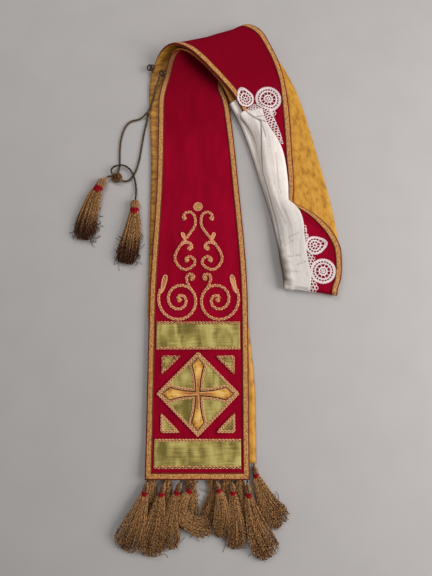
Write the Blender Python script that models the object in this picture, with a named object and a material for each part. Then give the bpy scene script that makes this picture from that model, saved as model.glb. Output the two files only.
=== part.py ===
"""Clerical stole laid out on a table: doubled at the neck and turned over once at the top.

The stole is one long ribbon in two halves that are sewn together at the centre back.
Half A is the front panel, which lies face up on top of everything at the left.
Half B is the back panel, which lies face down below it.
Both panels run up to the open fold, turn over there and run down to the right as the neck.
At the centre back the two halves meet in a soft fold, with the linings inside.

Lengths in the tables are millimetres in the layout: X right, Y up the panels, Z off the table.
Every piece that lies on the ribbon is placed by (along, across, off):
    along   distance from the hem of half A, up the ribbon, to the hem of half B
    across  distance from the inner (neck) edge towards the outer edge
    off     height over the seam plane between face and lining, positive on the face side
"""
from collections import namedtuple
from math import cos, pi, radians, sin

import bmesh
import bpy
from mathutils import Vector
from mathutils.bvhtree import BVHTree

MM = 0.001
ORIGIN_X = 29.0            # centre of the stole's box in the layout
ORIGIN_Y = 31.1

# Cloth walls, as heights over the seam plane
AIR = 0.3                  # gap between two pieces that touch
FLAT_ANGLE = 0.004         # radians; facets this close to one plane are merged
SEAM_HALF = AIR / 2
FACE_TOP = SEAM_HALF + 1.2
LINING_BOTTOM = -SEAM_HALF - 0.9
GALLOON_LOW = FACE_TOP + AIR
GALLOON_TOP = GALLOON_LOW + 0.9
GALLOON_WIDTH = 10.0
APPLIQUE_TOP = GALLOON_LOW + 1.0
CROSS_TOP = APPLIQUE_TOP + AIR + 1.0
LINEN_THICKNESS = 0.7
LINEN_AIR = 0.8            # between the linen and the lining
LINEN_LINING_WIDTH = 22.0
LINEN_WRAP = 1.4           # how far the linen stands off the ribbon's edge
LINEN_SETTLE = 5.0         # beyond the galloon, the width over which the linen comes down
LINEN_CLOTH_AIR = 0.15     # between the linen and the wool

Section = namedtuple("Section", "inner_x inner_y inner_z outer_x outer_y outer_z roll")

# Half A, front panel: from the hem, propped by the tassels under it, to the foot of the open fold
FRONT_PANEL = [Section(*row) for row in (
    (-102.5, -282.6, 9.6, 48.7, -282.6, 9.6, 0),
    (-102.7, -268.0, 9.1, 48.8, -268.0, 9.1, 0),
    (-102.9, -247.0, 7.0, 48.9, -247.0, 7.0, 0),
    (-103.0, -226.0, 4.95, 49.0, -226.0, 4.95, 0),
    (-103.4, -35.5, 4.95, 49.4, -35.5, 4.95, 0),
    (-96.0, 195.4, 4.95, 34.2, 195.4, 4.95, 0),
    (-96.3, 284.4, 4.95, 25.1, 284.4, 4.95, 0),
    (-96.5, 318.0, 5.0, 20.0, 318.0, 5.0, 0),
)]

# Half A inside the open fold: the panel turns up and over its own face
INNER_FOLD = [Section(*row) for row in (
    (-93.5, 338.0, 6.4, 12.5, 341.0, 5.0, 0),
    (-88.4, 355.0, 10.0, 11.0, 362.0, 5.3, 0),
    (-84.0, 370.0, 16.5, 14.0, 384.0, 6.0, 0),
    (-79.5, 381.0, 24.5, 18.0, 401.0, 7.0, 0),
    (-73.0, 389.0, 31.5, 25.0, 415.0, 8.6, 0),
    (-65.0, 391.5, 36.4, 33.0, 425.0, 10.4, 0),
    (-55.0, 389.5, 38.8, 42.0, 431.5, 12.0, 0),
    (-43.0, 383.5, 38.9, 53.0, 435.0, 13.0, 0),
)]

# Half A as the lower layer of the neck, face down on the table
NECK_UNDER = [Section(*row) for row in (
    (-26.0, 370.5, 36.0, 65.0, 436.0, 13.0, 0),
    (-8.0, 355.0, 30.0, 77.0, 430.0, 12.3, 0),
    (9.0, 337.5, 22.5, 88.0, 420.0, 10.5, 0),
    (18.0, 323.0, 16.0, 101.0, 402.0, 8.0, 0),
    (24.0, 310.0, 11.4, 115.0, 380.0, 5.6, 0),
    (31.0, 297.0, 8.0, 127.0, 357.0, 4.0, 0),
    (41.5, 276.0, 5.4, 141.0, 322.0, 3.0, 0),
    (58.5, 227.3, 3.8, 157.0, 262.0, 2.55, 0),
    (75.0, 168.5, 3.7, 171.5, 201.0, 2.55, 0),
    (89.0, 119.0, 3.7, 184.0, 147.0, 2.55, 0),
    (98.5, 75.0, 3.7, 193.5, 90.0, 2.55, 0),
    (104.0, 42.0, 3.7, 197.5, 46.0, 2.55, 0),
    (106.5, 20.0, 3.7, 195.5, 15.0, 2.55, 0),
)]

# Half B as the upper layer of the neck; roll is how far it is rolled over itself, 0 to 1
NECK_OVER = [Section(*row) for row in (
    (105.5, 20.0, 10.0, 194.0, 13.0, 11.5, 0),
    (102.3, 39.1, 10.2, 196.0, 34.0, 13.0, 0),
    (99.5, 66.0, 10.2, 195.5, 57.0, 14.0, 0.06),
    (97.8, 80.5, 10.1, 188.5, 78.5, 13.6, 0.18),
    (96.3, 92.7, 10.0, 180.0, 93.0, 12.8, 0.32),
    (94.8, 103.5, 9.8, 170.0, 105.0, 11.9, 0.47),
    (93.2, 114.5, 9.6, 157.6, 117.0, 10.8, 0.64),
    (90.6, 127.0, 9.3, 140.0, 129.0, 9.2, 0.82),
    (88.0, 140.0, 9.0, 124.6, 139.5, 7.6, 0.95),
    (84.0, 157.4, 9.0, 126.3, 159.5, 7.2, 1),
    (78.0, 186.6, 9.0, 126.3, 190.5, 7.0, 1),
    (73.0, 217.0, 9.0, 124.7, 224.0, 7.4, 0.9),
    (70.5, 232.0, 9.2, 124.2, 245.0, 7.7, 0.75),
    (67.0, 245.6, 9.5, 123.7, 264.6, 8.0, 0.6),
    (62.5, 257.0, 10.2, 122.9, 284.0, 8.5, 0.44),
    (57.0, 268.3, 11.0, 121.6, 303.8, 9.1, 0.29),
    (51.3, 280.5, 12.0, 119.0, 326.0, 10.0, 0.14),
    (45.0, 293.0, 13.2, 115.5, 349.0, 11.0, 0),
    (28.0, 321.8, 19.0, 104.5, 387.0, 14.0, 0),
    (9.9, 340.0, 27.0, 91.6, 415.7, 16.0, 0),
    (-9.8, 358.0, 34.5, 78.5, 438.7, 17.0, 0),
    (-27.7, 373.6, 40.5, 66.0, 449.0, 17.2, 0),
)]

# Half B over the open fold, the tall arch at the left
OUTER_FOLD = [Section(*row) for row in (
    (-45.6, 387.0, 43.5, 53.0, 453.0, 17.0, 0),
    (-62.0, 395.0, 43.2, 41.0, 450.0, 14.0, 0),
    (-76.0, 398.5, 38.2, 30.0, 443.5, 10.2, 0),
    (-87.5, 397.0, 30.0, 19.5, 434.0, 6.8, 0),
    (-97.0, 391.5, 20.0, 10.5, 420.0, 4.2, 0),
    (-105.0, 381.0, 10.4, 5.0, 402.0, 2.9, 0),
    (-111.5, 364.0, 4.2, 2.5, 376.0, 2.55, 0),
    (-113.6, 339.0, 2.6, 4.0, 343.0, 2.55, 0),
)]

# Half B, back panel, face down on the table, to its hem
BACK_PANEL = [Section(*row) for row in (
    (-112.0, 300.0, 2.55, 9.0, 300.0, 2.55, 0),
    (-107.0, 195.0, 2.55, 22.5, 195.0, 2.55, 0),
    (-106.0, -35.5, 2.55, 47.5, -35.5, 2.55, 0),
    (-98.4, -97.0, 2.55, 54.1, -97.0, 2.55, 0),
    (-93.4, -171.0, 2.55, 59.1, -171.0, 2.55, 0),
    (-92.3, -260.5, 2.55, 59.2, -260.5, 2.55, 0),
)]

# The soft fold at the centre back: its foot, and the turn in equal steps
BACK_FOLD_INNER = (107.6, 3.4)
BACK_FOLD_OUTER = (188.0, -7.4)
BACK_FOLD_UNDER = (3.7, 2.55)      # height of the lower layer at the inner and outer edge
BACK_FOLD_OVER = (9.9, 10.3)       # and of the upper layer
BACK_FOLD_STEPS = 6

# The rolled neck in section: fraction of the cloth's width, fraction of the chord, height in mm,
# and what the height gains where the neck is only half rolled
RollPoint = namedtuple("RollPoint", "width chord height half_gain")
ROLL = [RollPoint(*row) for row in (
    (0.0, 0.0, 0.0, 0.0),
    (0.06, 0.08, 4.8, 0.5),
    (0.14, 0.22, 9.0, 2.0),
    (0.23, 0.41, 10.8, 3.5),
    (0.32, 0.60, 10.5, 4.0),
    (0.37, 0.70, 9.2, 4.5),
    (0.392, 0.735, 7.2, 4.5),
    (0.415, 0.70, 5.5, 4.0),
    (0.48, 0.56, 5.1, 2.5),
    (0.565, 0.38, 4.8, 0.5),
    (0.61, 0.28, 3.8, 0.0),
    (0.64, 0.25, 1.6, 0.0),
    (0.665, 0.29, -0.4, 0.0),
    (0.725, 0.42, -0.8, 0.0),
    (0.86, 0.70, -0.5, 0.0),
    (1.0, 1.0, 0.0, 0.0),
)]

# Applique on the front panel
BAND_MARGIN = 12.6
GREEN_BANDS = {"green_band_lower": (16.0, 55.7), "green_band_upper": (187.3, 228.5)}
DIAMOND_ALONG = 121.3
DIAMOND_HALF = 61.5
CORNER_ALONG = 55.7        # from the diamond's middle to a corner triangle's right angle
CORNER_ACROSS = 54.5
CORNER_LEG = 27.5
CROSS_ARM = 53.0
CROSS_NECK = 5.0
CROSS_FLARE = 18.0
CROSS_WIDEST = 0.78        # share of the arm at which it is widest

# Scroll embroidery, placed from the dot at its top: x across, y up the panel
SCROLL_ALONG = 414.0
SCROLL_TALL = 1.06         # the scrolls are drawn out by this much along the panel
DOT_RADIUS = 7.4
LINE_WIDTH = 4.8
LINE_END_TAPER = 0.6
BRANCH_SHARE = 0.8         # width of a branch, as a share of the line's
BRANCH_INSET = (0.08, 0.12)    # a joined branch or bud is a little thinner at its bottom and top,
BUD_INSET = (0.16, 0.24)       # so that no two faces share a plane
UPPER_SCROLL = (-19.7, -19.8, 187, (
    (5.5, -105), (7.9, -50), (7.3, -52), (11, -60), (7.4, -10), (10.8, -36), (25, -4), (13, 6),
    (11.4, 14), (11.7, 48), (11.4, 24), (11.7, 58), (11.2, 25), (8.7, 75), (8.9, 50), (7.3, 80),
    (5, 85)))
UPPER_BRANCH = (-26.0, -58.7, 35, ((8, -30), (7, -50), (6, -60), (4.5, -80), (3, -60)))
UPPER_BUD = (15.0, 5.5, -19.5, -55.0, 113)
LOWER_SPIRAL = (-29.4, -142.5, 152, 1.99, 33.6, 3.5, 30)
LOWER_BRANCH = (-11.5, -127.8, 128, (
    (14, -20), (6, -20), (4.5, -50), (5.5, -45), (5.5, -65), (4, -70), (3.5, -50)))
LOWER_BUD = (28.0, 8.5, -58.0, -133.0, 76)

# Linen protector and its lace
LINEN_COLUMNS = (0, GALLOON_WIDTH / 2, GALLOON_WIDTH)    # then shares of the ribbon's width
LINEN_FACE_SHARES = (0.15, 0.23, 0.32)
LINEN_REACH = 0.37         # of the ribbon's width, on the face side
LINEN_REACH_GAIN = 0.11    # more at the centre back
LINEN_GAIN_ENDS = 92.0     # mm from the centre back at which the gain is gone
LINEN_GAIN_FADE = 66.0     # mm over which it goes
LINEN_LINING_SHARES = (0.15, 0.23)
LINEN_SECTIONS_A = 13
LINEN_SECTIONS_B = 21
LACE_LOW = FACE_TOP + 0.5
LACE_THICKNESS = 0.7
LACE_ROWS = 24             # rows of half B that lace may lie on
HOLE_RING = 0.6            # radius of a wheel's ring of holes, as a share of the scallop's
HOLE_RADIUS = 0.155        # radius of a hole, likewise
HOLES_PER_MM = 0.42        # holes for each mm of the scallop's radius
Scallop = namedtuple("Scallop", "x y radius facing span")
Lace = namedtuple("Lace", "seam corner scallops tail")
# The seam is given as section row, distance past it and share of the width past the linen's reach
LACE = {
    "lace_upper": Lace(((20, 2.2, -0.34), (20, 2.2, -0.22), (20, 2.2, -0.05), (20, 2.2, 0.0)),
                       ((88.5, 297.0), (97.5, 296.0)),
                       (Scallop(85.5, 315.5, 21.5, 70, 190), Scallop(49.5, 316.0, 13.5, 106, 162)),
                       ((43.5, 300.0),)),
    "lace_lower": Lace(((9, 0, 0.012), (8, 0, 0.012), (7, 0, 0.012), (6, 0, 0.012), (5, 0, 0.012),
                        (4, 0, 0.012), (3, 0, 0.012)), (),
                       (Scallop(165.7, 24.0, 19.5, 5, 170), Scallop(160.0, 65.0, 14.0, 25, 190)),
                       ()),
}

# Tassels: root, a point half way and the end, in plan; how far the skirt spreads
Tassel = namedtuple("Tassel", "root_x root_y middle_x middle_y end_x end_y spread")
FRONT_TASSELS = [Tassel(*row) for row in (
    (-98.5, -283.5, -111.0, -330.0, -130.8, -377.0, 28),
    (-74.0, -283.5, -84.5, -335.0, -92.0, -386.0, 25),
    (-50.0, -283.5, -63.5, -330.0, -66.0, -377.0, 21),
    (-26.0, -284.2, -45.0, -322.0, -18.0, -353.0, 19),
    (-1.0, -283.5, 8.5, -320.0, 5.5, -361.0, 19),
    (22.5, -283.5, 27.0, -330.0, 29.5, -376.0, 19),
    (45.0, -283.5, 54.0, -335.0, 77.0, -387.0, 27),
)]
BACK_TASSELS = [Tassel(*row) for row in (
    (-89.0, -261.4, -97.0, -305.0, -106.0, -352.0, 22),
    (-68.0, -261.4, -73.0, -310.0, -77.0, -360.0, 20),
    (-43.5, -261.4, -37.0, -305.0, -44.0, -352.0, 19),
    (-18.5, -261.4, -2.5, -300.0, -17.0, -340.0, 17),
    (6.5, -261.4, 16.5, -305.0, 22.0, -350.0, 18),
    (31.0, -261.4, 38.5, -312.0, 45.0, -362.0, 19),
    (55.5, -261.4, 67.0, -302.0, 95.0, -345.0, 27),
)]
TasselSize = namedtuple("TasselSize", "string head_long head_radius binding skirt sides flatness")
HEM_TASSEL = TasselSize(5.5, 11.0, 4.5, 5.5, 80.0, 8, 0.78)
CORD_TASSEL = TasselSize(1.5, 14.0, 7.6, 9.5, 80.0, 14, 0.86)
TASSEL_AIR = 0.4           # the lowest strands lie this far over the table
PATH_SAMPLES = 24          # along a tassel's middle line
LOCK_INSET = 0.3           # each lock's root stands this far inside its share of the head
LOCK_STEPS = ((0.45, 0.92), (0.85, 0.9), (1.0, 0.45))    # share of the skirt, and how a lock narrows to it
NECK_SHARE = 0.82          # radii of the neck and of the binding's lower end, as shares of the head's
CAP_SHARE = 0.86
SPREAD_POWER = 0.8         # below 1, the skirt spreads mostly near its root
FRONT_TASSEL_LIFT = 7.2    # the front panel's tassels lie on the back panel's

# The tie cord and what is on it
CORD_DIAMETER = 3.3
LOOP_SHARE = 0.8           # the edge loops' cord is this much thinner
LOOP_STRETCH = 1.25        # and their rings are this much longer than wide
KNOT = (-161.6, 182.3, 5.6)
KNOT_RADII = (9.3, 8.2, 5.3)
CORD_TASSELS = {
    "cord_tassel_left": Tassel(-170.9, 184.5, -193.7, 155.3, -211.7, 76.7, 31),
    "cord_tassel_right": Tassel(-130.3, 144.0, -133.5, 92.0, -142.0, 37.5, 32),
}
CORD_TASSEL_STRINGS = {"cord_tassel_left": (13.0, 6.0), "cord_tassel_right": (1.5, 6.9)}   # length, height
LOOPS = {"cord_loop_back": (-112.6, 378.0, 10.0, 4.0), "cord_loop_front": (-91.2, 364.0, 14.6, 3.6)}
CORDS = {
    "cord_strand_front": (
        (-95.0, 358.9, 13.6), (-98.4, 351.0, 9.6), (-102.0, 341.7, 7.0), (-105.0, 327.5, 5.9),
        (-107.8, 316.0, 5.8), (-111.5, 305.0, 5.9), (-117.2, 295.5, 5.6), (-127.2, 288.0, 2.2),
        (-143.8, 282.6, 1.7), (-153.3, 269.9, 1.7), (-158.6, 248.3, 1.7), (-159.4, 224.0, 1.7),
        (-158.8, 208.0, 1.75), (-159.6, 199.0, 2.2), (-160.6, 191.4, 4.6)),
    "cord_strand_back": (
        (-114.6, 299.5, 1.9), (-116.6, 282.0, 1.7), (-120.3, 262.0, 1.7), (-123.6, 238.0, 1.7),
        (-127.2, 213.0, 1.7), (-132.4, 194.0, 1.7), (-140.0, 181.0, 1.8), (-147.3, 176.6, 2.6),
        (-152.6, 177.6, 4.0)),
    "cord_ring": (
        (-169.6, 188.2, 7.2), (-171.4, 194.0, 6.4), (-167.8, 199.6, 6.2), (-160.5, 202.6, 6.7),
        (-152.0, 203.0, 5.9), (-143.5, 198.6, 5.4), (-136.4, 189.5, 5.4), (-132.6, 178.0, 3.9),
        (-130.6, 166.0, 2.6), (-130.0, 155.0, 4.0), (-130.3, 144.4, 6.9)),
}


# ---------------------------------------------------------------- sections and the ribbon

def back_fold(first_step, last_step):
    """Sections of the centre-back fold, a half turn from the lower layer to the upper one."""
    sections = []
    for step in range(first_step, last_step + 1):
        turn = pi * step / BACK_FOLD_STEPS
        heights = []
        reaches = []
        for low, high in zip(BACK_FOLD_UNDER, BACK_FOLD_OVER):
            radius = (high - low) / 2
            heights.append((low + high) / 2 - radius * cos(turn))
            reaches.append(radius * sin(turn))
        sections.append(Section(
            BACK_FOLD_INNER[0], BACK_FOLD_INNER[1] - reaches[0], heights[0],
            BACK_FOLD_OUTER[0], BACK_FOLD_OUTER[1] - reaches[1], heights[1], 0))
    return sections


def roll_shape(amount, fraction):
    """Chord fraction and height of the rolled section at a fraction of the cloth's width."""
    for low, high in zip(ROLL, ROLL[1:]):
        if fraction <= high.width:
            break
    part = (fraction - low.width) / (high.width - low.width)
    chord, height, half_gain = (a + part * (b - a) for a, b in zip(low[1:], high[1:]))
    lift = (1 - (1 - amount) ** 3) * height + 4 * amount * (1 - amount) * half_gain
    return (1 - amount) * fraction + amount * chord, lift


def section_point(section, fraction):
    """Point of the seam plane at a fraction of the cloth's width."""
    inner = Vector((section.inner_x, section.inner_y, section.inner_z))
    outer = Vector((section.outer_x, section.outer_y, section.outer_z))
    if section.roll == 0:
        return inner.lerp(outer, fraction)
    chord, height = roll_shape(section.roll, fraction)
    return inner.lerp(outer, chord) + Vector((0, 0, height))


def cloth_width(section):
    """Width of the cloth across a section, measured along its roll."""
    points = [section_point(section, knot.width) for knot in ROLL]
    return sum((b - a).length for a, b in zip(points, points[1:]))


def columns_a(width):
    """Across positions of half A's edges, galloons and linen."""
    return (0, GALLOON_WIDTH, LINEN_LINING_WIDTH, 0.55 * width, width - GALLOON_WIDTH, width)


def columns_b(width):
    """Across positions of half B, closer where the neck rolls over."""
    rolled = [width * knot for knot in (0.15, 0.23, 0.32, 0.37, 0.415, 0.48, 0.565, 0.61, 0.65, 0.725)]
    return (0, GALLOON_WIDTH / 2, GALLOON_WIDTH, *rolled, width - GALLOON_WIDTH, width)


def grid_normals(points):
    """Face-side vertex normals of a grid of points, with the diagonals that walls use."""
    bm = bmesh.new()
    grid = [[bm.verts.new(point) for point in row] for row in points]
    for low, high in zip(grid, grid[1:]):
        for j in range(len(low) - 1):
            bm.faces.new((low[j], low[j + 1], high[j + 1], high[j]))
    bmesh.ops.triangulate(bm, faces=bm.faces, quad_method="FIXED")
    bm.normal_update()
    normals = [[vertex.normal.copy() for vertex in row] for row in grid]
    bm.free()
    return normals


class Half:
    """One half of the ribbon as a grid of points and face-side normals on its sections."""

    def __init__(self, sections, columns, start, joined_before=0, joined_after=0):
        """joined_before and joined_after count end sections that belong to the other half."""
        self.widths = [cloth_width(section) for section in sections]
        self.across = [columns(width) for width in self.widths]
        self.points = [[section_point(section, a / width) for a in row]
                       for section, width, row in zip(sections, self.widths, self.across)]
        self.normals = grid_normals(self.points)
        own = slice(joined_before, len(sections) - joined_after)
        middles = [section_point(section, 0.5) for section in sections[own]]
        self.widths = self.widths[own]
        self.across = self.across[own]
        self.points = self.points[own]
        self.normals = self.normals[own]
        if joined_before:
            self.draw_back(0, 1)
        if joined_after:
            self.draw_back(-1, -2)
        self.along = [start]
        for low, high in zip(middles, middles[1:]):
            self.along.append(self.along[-1] + (high - low).length)

    def draw_back(self, end, neighbour):
        """Open half of the seam's gap at the centre back."""
        self.points[end] = [point + (towards - point).normalized() * SEAM_HALF
                            for point, towards in zip(self.points[end], self.points[neighbour])]

    def station(self, index, column):
        """The (along, across) pair of a grid point."""
        return self.along[index], self.across[index][column]

    def place(self, along, across, off):
        """Point over the faceted panel, from the corners of the facet it lies on."""
        i = 0
        while i < len(self.along) - 2 and along > self.along[i + 1]:
            i += 1
        part = (along - self.along[i]) / (self.along[i + 1] - self.along[i])
        row = [a + part * (b - a) for a, b in zip(self.across[i], self.across[i + 1])]
        j = 0
        while j < len(row) - 2 and across > row[j + 1]:
            j += 1
        side = (across - row[j]) / (row[j + 1] - row[j])
        corners = ((i, j, (1 - part) * (1 - side)), (i, j + 1, (1 - part) * side),
                   (i + 1, j, part * (1 - side)), (i + 1, j + 1, part * side))
        point = Vector()
        normal = Vector()
        for row_index, column, weight in corners:
            point += weight * self.points[row_index][column]
            normal += weight * self.normals[row_index][column]
        return point + normal.normalized() * off

    def width_at(self, along):
        """Width of the cloth at a distance along the ribbon."""
        for index in range(len(self.along) - 1):
            if along <= self.along[index + 1]:
                break
        part = (along - self.along[index]) / (self.along[index + 1] - self.along[index])
        return self.widths[index] + part * (self.widths[index + 1] - self.widths[index])


# ---------------------------------------------------------------- objects and materials

def start_empty():
    """Remove what the scene holds."""
    for thing in list(bpy.data.objects):
        bpy.data.objects.remove(thing, do_unlink=True)


def make_material(name, colour, roughness, metallic=0.0):
    """A plain Principled material."""
    material = bpy.data.materials.new(name)
    material.use_nodes = True
    shader = material.node_tree.nodes["Principled BSDF"]
    shader.inputs["Base Color"].default_value = (*colour, 1.0)
    shader.inputs["Roughness"].default_value = roughness
    shader.inputs["Metallic"].default_value = metallic
    return material


def finish(name, bm, material, smooth=False):
    """Turn a bmesh in layout millimetres into a named object in metres round the part's origin."""
    bmesh.ops.recalc_face_normals(bm, faces=bm.faces)
    for vertex in bm.verts:
        vertex.co = (vertex.co - Vector((ORIGIN_X, ORIGIN_Y, 0))) * MM
    mesh = bpy.data.meshes.new(name)
    bm.to_mesh(mesh)
    bm.free()
    if smooth:
        mesh.shade_smooth()
        mesh.set_sharp_from_angle(angle=radians(50))
    mesh.materials.append(material)
    thing = bpy.data.objects.new(name, mesh)
    bpy.context.scene.collection.objects.link(thing)
    return thing


def wall(name, low_rows, high_rows, material):
    """A closed wall between two grids of points."""
    bm = bmesh.new()
    low = [[bm.verts.new(point) for point in row] for row in low_rows]
    high = [[bm.verts.new(point) for point in row] for row in high_rows]
    last_row = len(low) - 1
    last_column = len(low[0]) - 1
    for i in range(last_row):
        for j in range(last_column):
            bm.faces.new((low[i][j], low[i][j + 1], low[i + 1][j + 1], low[i + 1][j]))
            bm.faces.new((high[i][j], high[i][j + 1], high[i + 1][j + 1], high[i + 1][j]))
    for i in range(last_row):
        for j in (0, last_column):
            bm.faces.new((low[i][j], low[i + 1][j], high[i + 1][j], high[i][j]))
    for j in range(last_column):
        for i in (0, last_row):
            bm.faces.new((low[i][j], low[i][j + 1], high[i][j + 1], high[i][j]))
    for face in list(bm.faces):
        if len(face.verts) == 4:
            a, b, c, d = face.verts
            if (a.co - b.co).length < 1e-6:
                bmesh.ops.pointmerge(bm, verts=[a, b], merge_co=a.co)
    bm.normal_update()
    bmesh.ops.recalc_face_normals(bm, faces=bm.faces)
    bmesh.ops.dissolve_limit(bm, angle_limit=FLAT_ANGLE, verts=bm.verts, edges=bm.edges)
    # The same diagonal everywhere keeps stacked layers parallel
    quads = [face for face in bm.faces if len(face.verts) == 4]
    bmesh.ops.triangulate(bm, faces=quads, quad_method="FIXED")
    return finish(name, bm, material)


def layer(name, half, stations, low, high, material):
    """A wall on the panel through rows of (along, across) stations."""
    def level(value):
        return [[half.place(along, across, value) for along, across in row] for row in stations]
    return wall(name, level(low), level(high), material)


def grid_stations(half, first_column, last_column, first_row=0, last_row=None):
    """Stations on the panel's own grid lines."""
    last_row = len(half.along) - 1 if last_row is None else last_row
    return [[half.station(i, j) for j in range(first_column, last_column + 1)]
            for i in range(first_row, last_row + 1)]


# ---------------------------------------------------------------- cloth, lining and galloon

def edge_strip(half, first_column, last_column, hem_row, width_sign):
    """Stations of a galloon along an edge, mitred at the hem in row hem_row."""
    rows = grid_stations(half, first_column, last_column)
    hem_along = half.along[hem_row]
    towards = 1 if hem_row == 0 else -1
    width = half.widths[hem_row]
    mitred = []
    for along, across in rows[hem_row]:
        from_edge = across if width_sign > 0 else width - across
        mitred.append((hem_along + towards * from_edge, across))
    rows[hem_row] = mitred
    return rows


def hem_strip(half, hem_row):
    """Stations of the galloon across a hem, mitred into the edge galloons."""
    hem_along = half.along[hem_row]
    towards = 1 if hem_row == 0 else -1
    width = half.widths[hem_row]
    rows = []
    for depth in (0.0, GALLOON_WIDTH):
        near = depth + 1.4 * AIR
        rows.append([(hem_along + towards * depth, near), (hem_along + towards * depth, width - near)])
    return rows


def build_half(tag, half, hem_row, materials):
    """Face, lining and galloons of one half."""
    last = len(half.across[0]) - 1
    inner_last = half.across[0].index(GALLOON_WIDTH)
    layer(f"face_{tag}", half, grid_stations(half, 0, last), SEAM_HALF, FACE_TOP, materials["wool"])
    layer(f"lining_{tag}", half, grid_stations(half, 0, last), LINING_BOTTOM, -SEAM_HALF,
          materials["lining"])
    layer(f"galloon_inner_{tag}", half, edge_strip(half, 0, inner_last, hem_row, 1),
          GALLOON_LOW, GALLOON_TOP, materials["galloon"])
    layer(f"galloon_outer_{tag}", half, edge_strip(half, last - 1, last, hem_row, -1),
          GALLOON_LOW, GALLOON_TOP, materials["galloon"])
    layer(f"galloon_hem_{tag}", half, hem_strip(half, hem_row), GALLOON_LOW, GALLOON_TOP,
          materials["galloon"])


# ---------------------------------------------------------------- applique and embroidery

def panel_prism(name, half, outline, low, high, material):
    """A flat applique on the panel from an outline of (along, across) corners."""
    bm = bmesh.new()
    bottom = [bm.verts.new(half.place(along, across, low)) for along, across in outline]
    top = [bm.verts.new(half.place(along, across, high)) for along, across in outline]
    bm.faces.new(list(reversed(bottom)))
    bm.faces.new(top)
    for k in range(len(outline)):
        after = (k + 1) % len(outline)
        bm.faces.new((bottom[k], bottom[after], top[after], top[k]))
    bm.normal_update()
    bmesh.ops.triangulate(bm, faces=[face for face in bm.faces if len(face.verts) > 4])
    return finish(name, bm, material)


def cross_outline(centre_along, centre_across):
    """Outline of a pointed cross: narrow at the middle, four arms that flare and end in a point."""
    arm = ((CROSS_NECK / 2, -CROSS_NECK / 2), (CROSS_ARM * CROSS_WIDEST, -CROSS_FLARE / 2), (CROSS_ARM, 0.0),
           (CROSS_ARM * CROSS_WIDEST, CROSS_FLARE / 2))
    outline = []
    for quarter in range(4):
        turn = quarter * pi / 2
        for reach, side in arm:
            along = reach * cos(turn) - side * sin(turn)
            across = reach * sin(turn) + side * cos(turn)
            outline.append((centre_along + along, centre_across + across))
    return outline


def build_applique(half, materials):
    """Green bands, diamond, corner triangles and the cross on the front panel."""
    for name, (low_along, high_along) in GREEN_BANDS.items():
        breaks = [along for along in half.along if low_along < along < high_along]
        rows = [[(along, BAND_MARGIN), (along, half.width_at(along) - BAND_MARGIN)]
                for along in (low_along, *breaks, high_along)]
        layer(name, half, rows, GALLOON_LOW, APPLIQUE_TOP, materials["green"])
    middle = half.width_at(DIAMOND_ALONG) / 2
    diamond = [(DIAMOND_ALONG + DIAMOND_HALF * cos(k * pi / 2), middle + DIAMOND_HALF * sin(k * pi / 2))
               for k in range(4)]
    panel_prism("diamond", half, diamond, GALLOON_LOW, APPLIQUE_TOP, materials["green"])
    panel_prism("cross", half, cross_outline(DIAMOND_ALONG, middle), APPLIQUE_TOP + AIR, CROSS_TOP,
                materials["orphrey"])
    for up in (-1, 1):
        for side in (-1, 1):
            along = DIAMOND_ALONG + up * CORNER_ALONG
            across = middle + side * CORNER_ACROSS
            corner = [(along, across), (along - up * CORNER_LEG, across),
                      (along, across - side * CORNER_LEG)]
            name = "corner_{}_{}".format("upper" if up > 0 else "lower", "outer" if side > 0 else "inner")
            panel_prism(name, half, corner, GALLOON_LOW, APPLIQUE_TOP, materials["green"])


def arc_chain(x, y, heading, arcs):
    """Points along a chain of arcs, each a length in mm and a turn in degrees (left is positive)."""
    points = [Vector((x, y, 0))]
    heading = radians(heading)
    for length, turn in arcs:
        count = max(1, round(length / 12), round(abs(turn) / 24))
        for _ in range(count):
            heading += radians(turn) / count / 2
            points.append(points[-1] + Vector((cos(heading), sin(heading), 0)) * length / count)
            heading += radians(turn) / count / 2
    return points


def spiral_points(centre_x, centre_y, start_angle, turns, outer_radius, inner_radius, count):
    """Points of a spiral that winds inwards to the left."""
    points = []
    for k in range(count + 1):
        part = k / count
        angle = radians(start_angle) + part * turns * 2 * pi
        radius = outer_radius - (outer_radius - inner_radius) * part
        points.append(Vector((centre_x + radius * cos(angle), centre_y + radius * sin(angle), 0)))
    return points


def stroke(name, half, points, width, mirror, material, low=GALLOON_LOW, high=APPLIQUE_TOP):
    """A raised line of couched cord along points given from the middle of the scroll pattern."""
    rows = []
    for k, point in enumerate(points):
        before = points[max(k - 1, 0)]
        after = points[min(k + 1, len(points) - 1)]
        heading = (after - before).normalized()
        taper = LINE_END_TAPER if k in (0, len(points) - 1) else 1.0
        side = Vector((-heading.y, heading.x, 0)) * width / 2 * taper
        places = [(SCROLL_ALONG + SCROLL_TALL * p.y, p.x) for p in (point - side, point + side)]
        rows.append([(along, half.width_at(along) / 2 + mirror * x) for along, x in places])
    return layer(name, half, rows, low, high, material)


def leaf(length, width, x, y, heading):
    """Outline points of a small leaf, as a stroke's middle line with its own width."""
    direction = Vector((cos(radians(heading)), sin(radians(heading)), 0))
    return [Vector((x, y, 0)) + direction * length * part for part in (0, 0.35, 0.7, 1)], width


def join_pieces(main_piece, extras):
    """Union the extra pieces into the main one with Boolean modifiers."""
    for extra in extras:
        extra.hide_render = True
        extra.display_type = "WIRE"
        union = main_piece.modifiers.new("join_" + extra.name, "BOOLEAN")
        union.operation = "UNION"
        union.solver = "EXACT"
        union.object = extra


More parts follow.
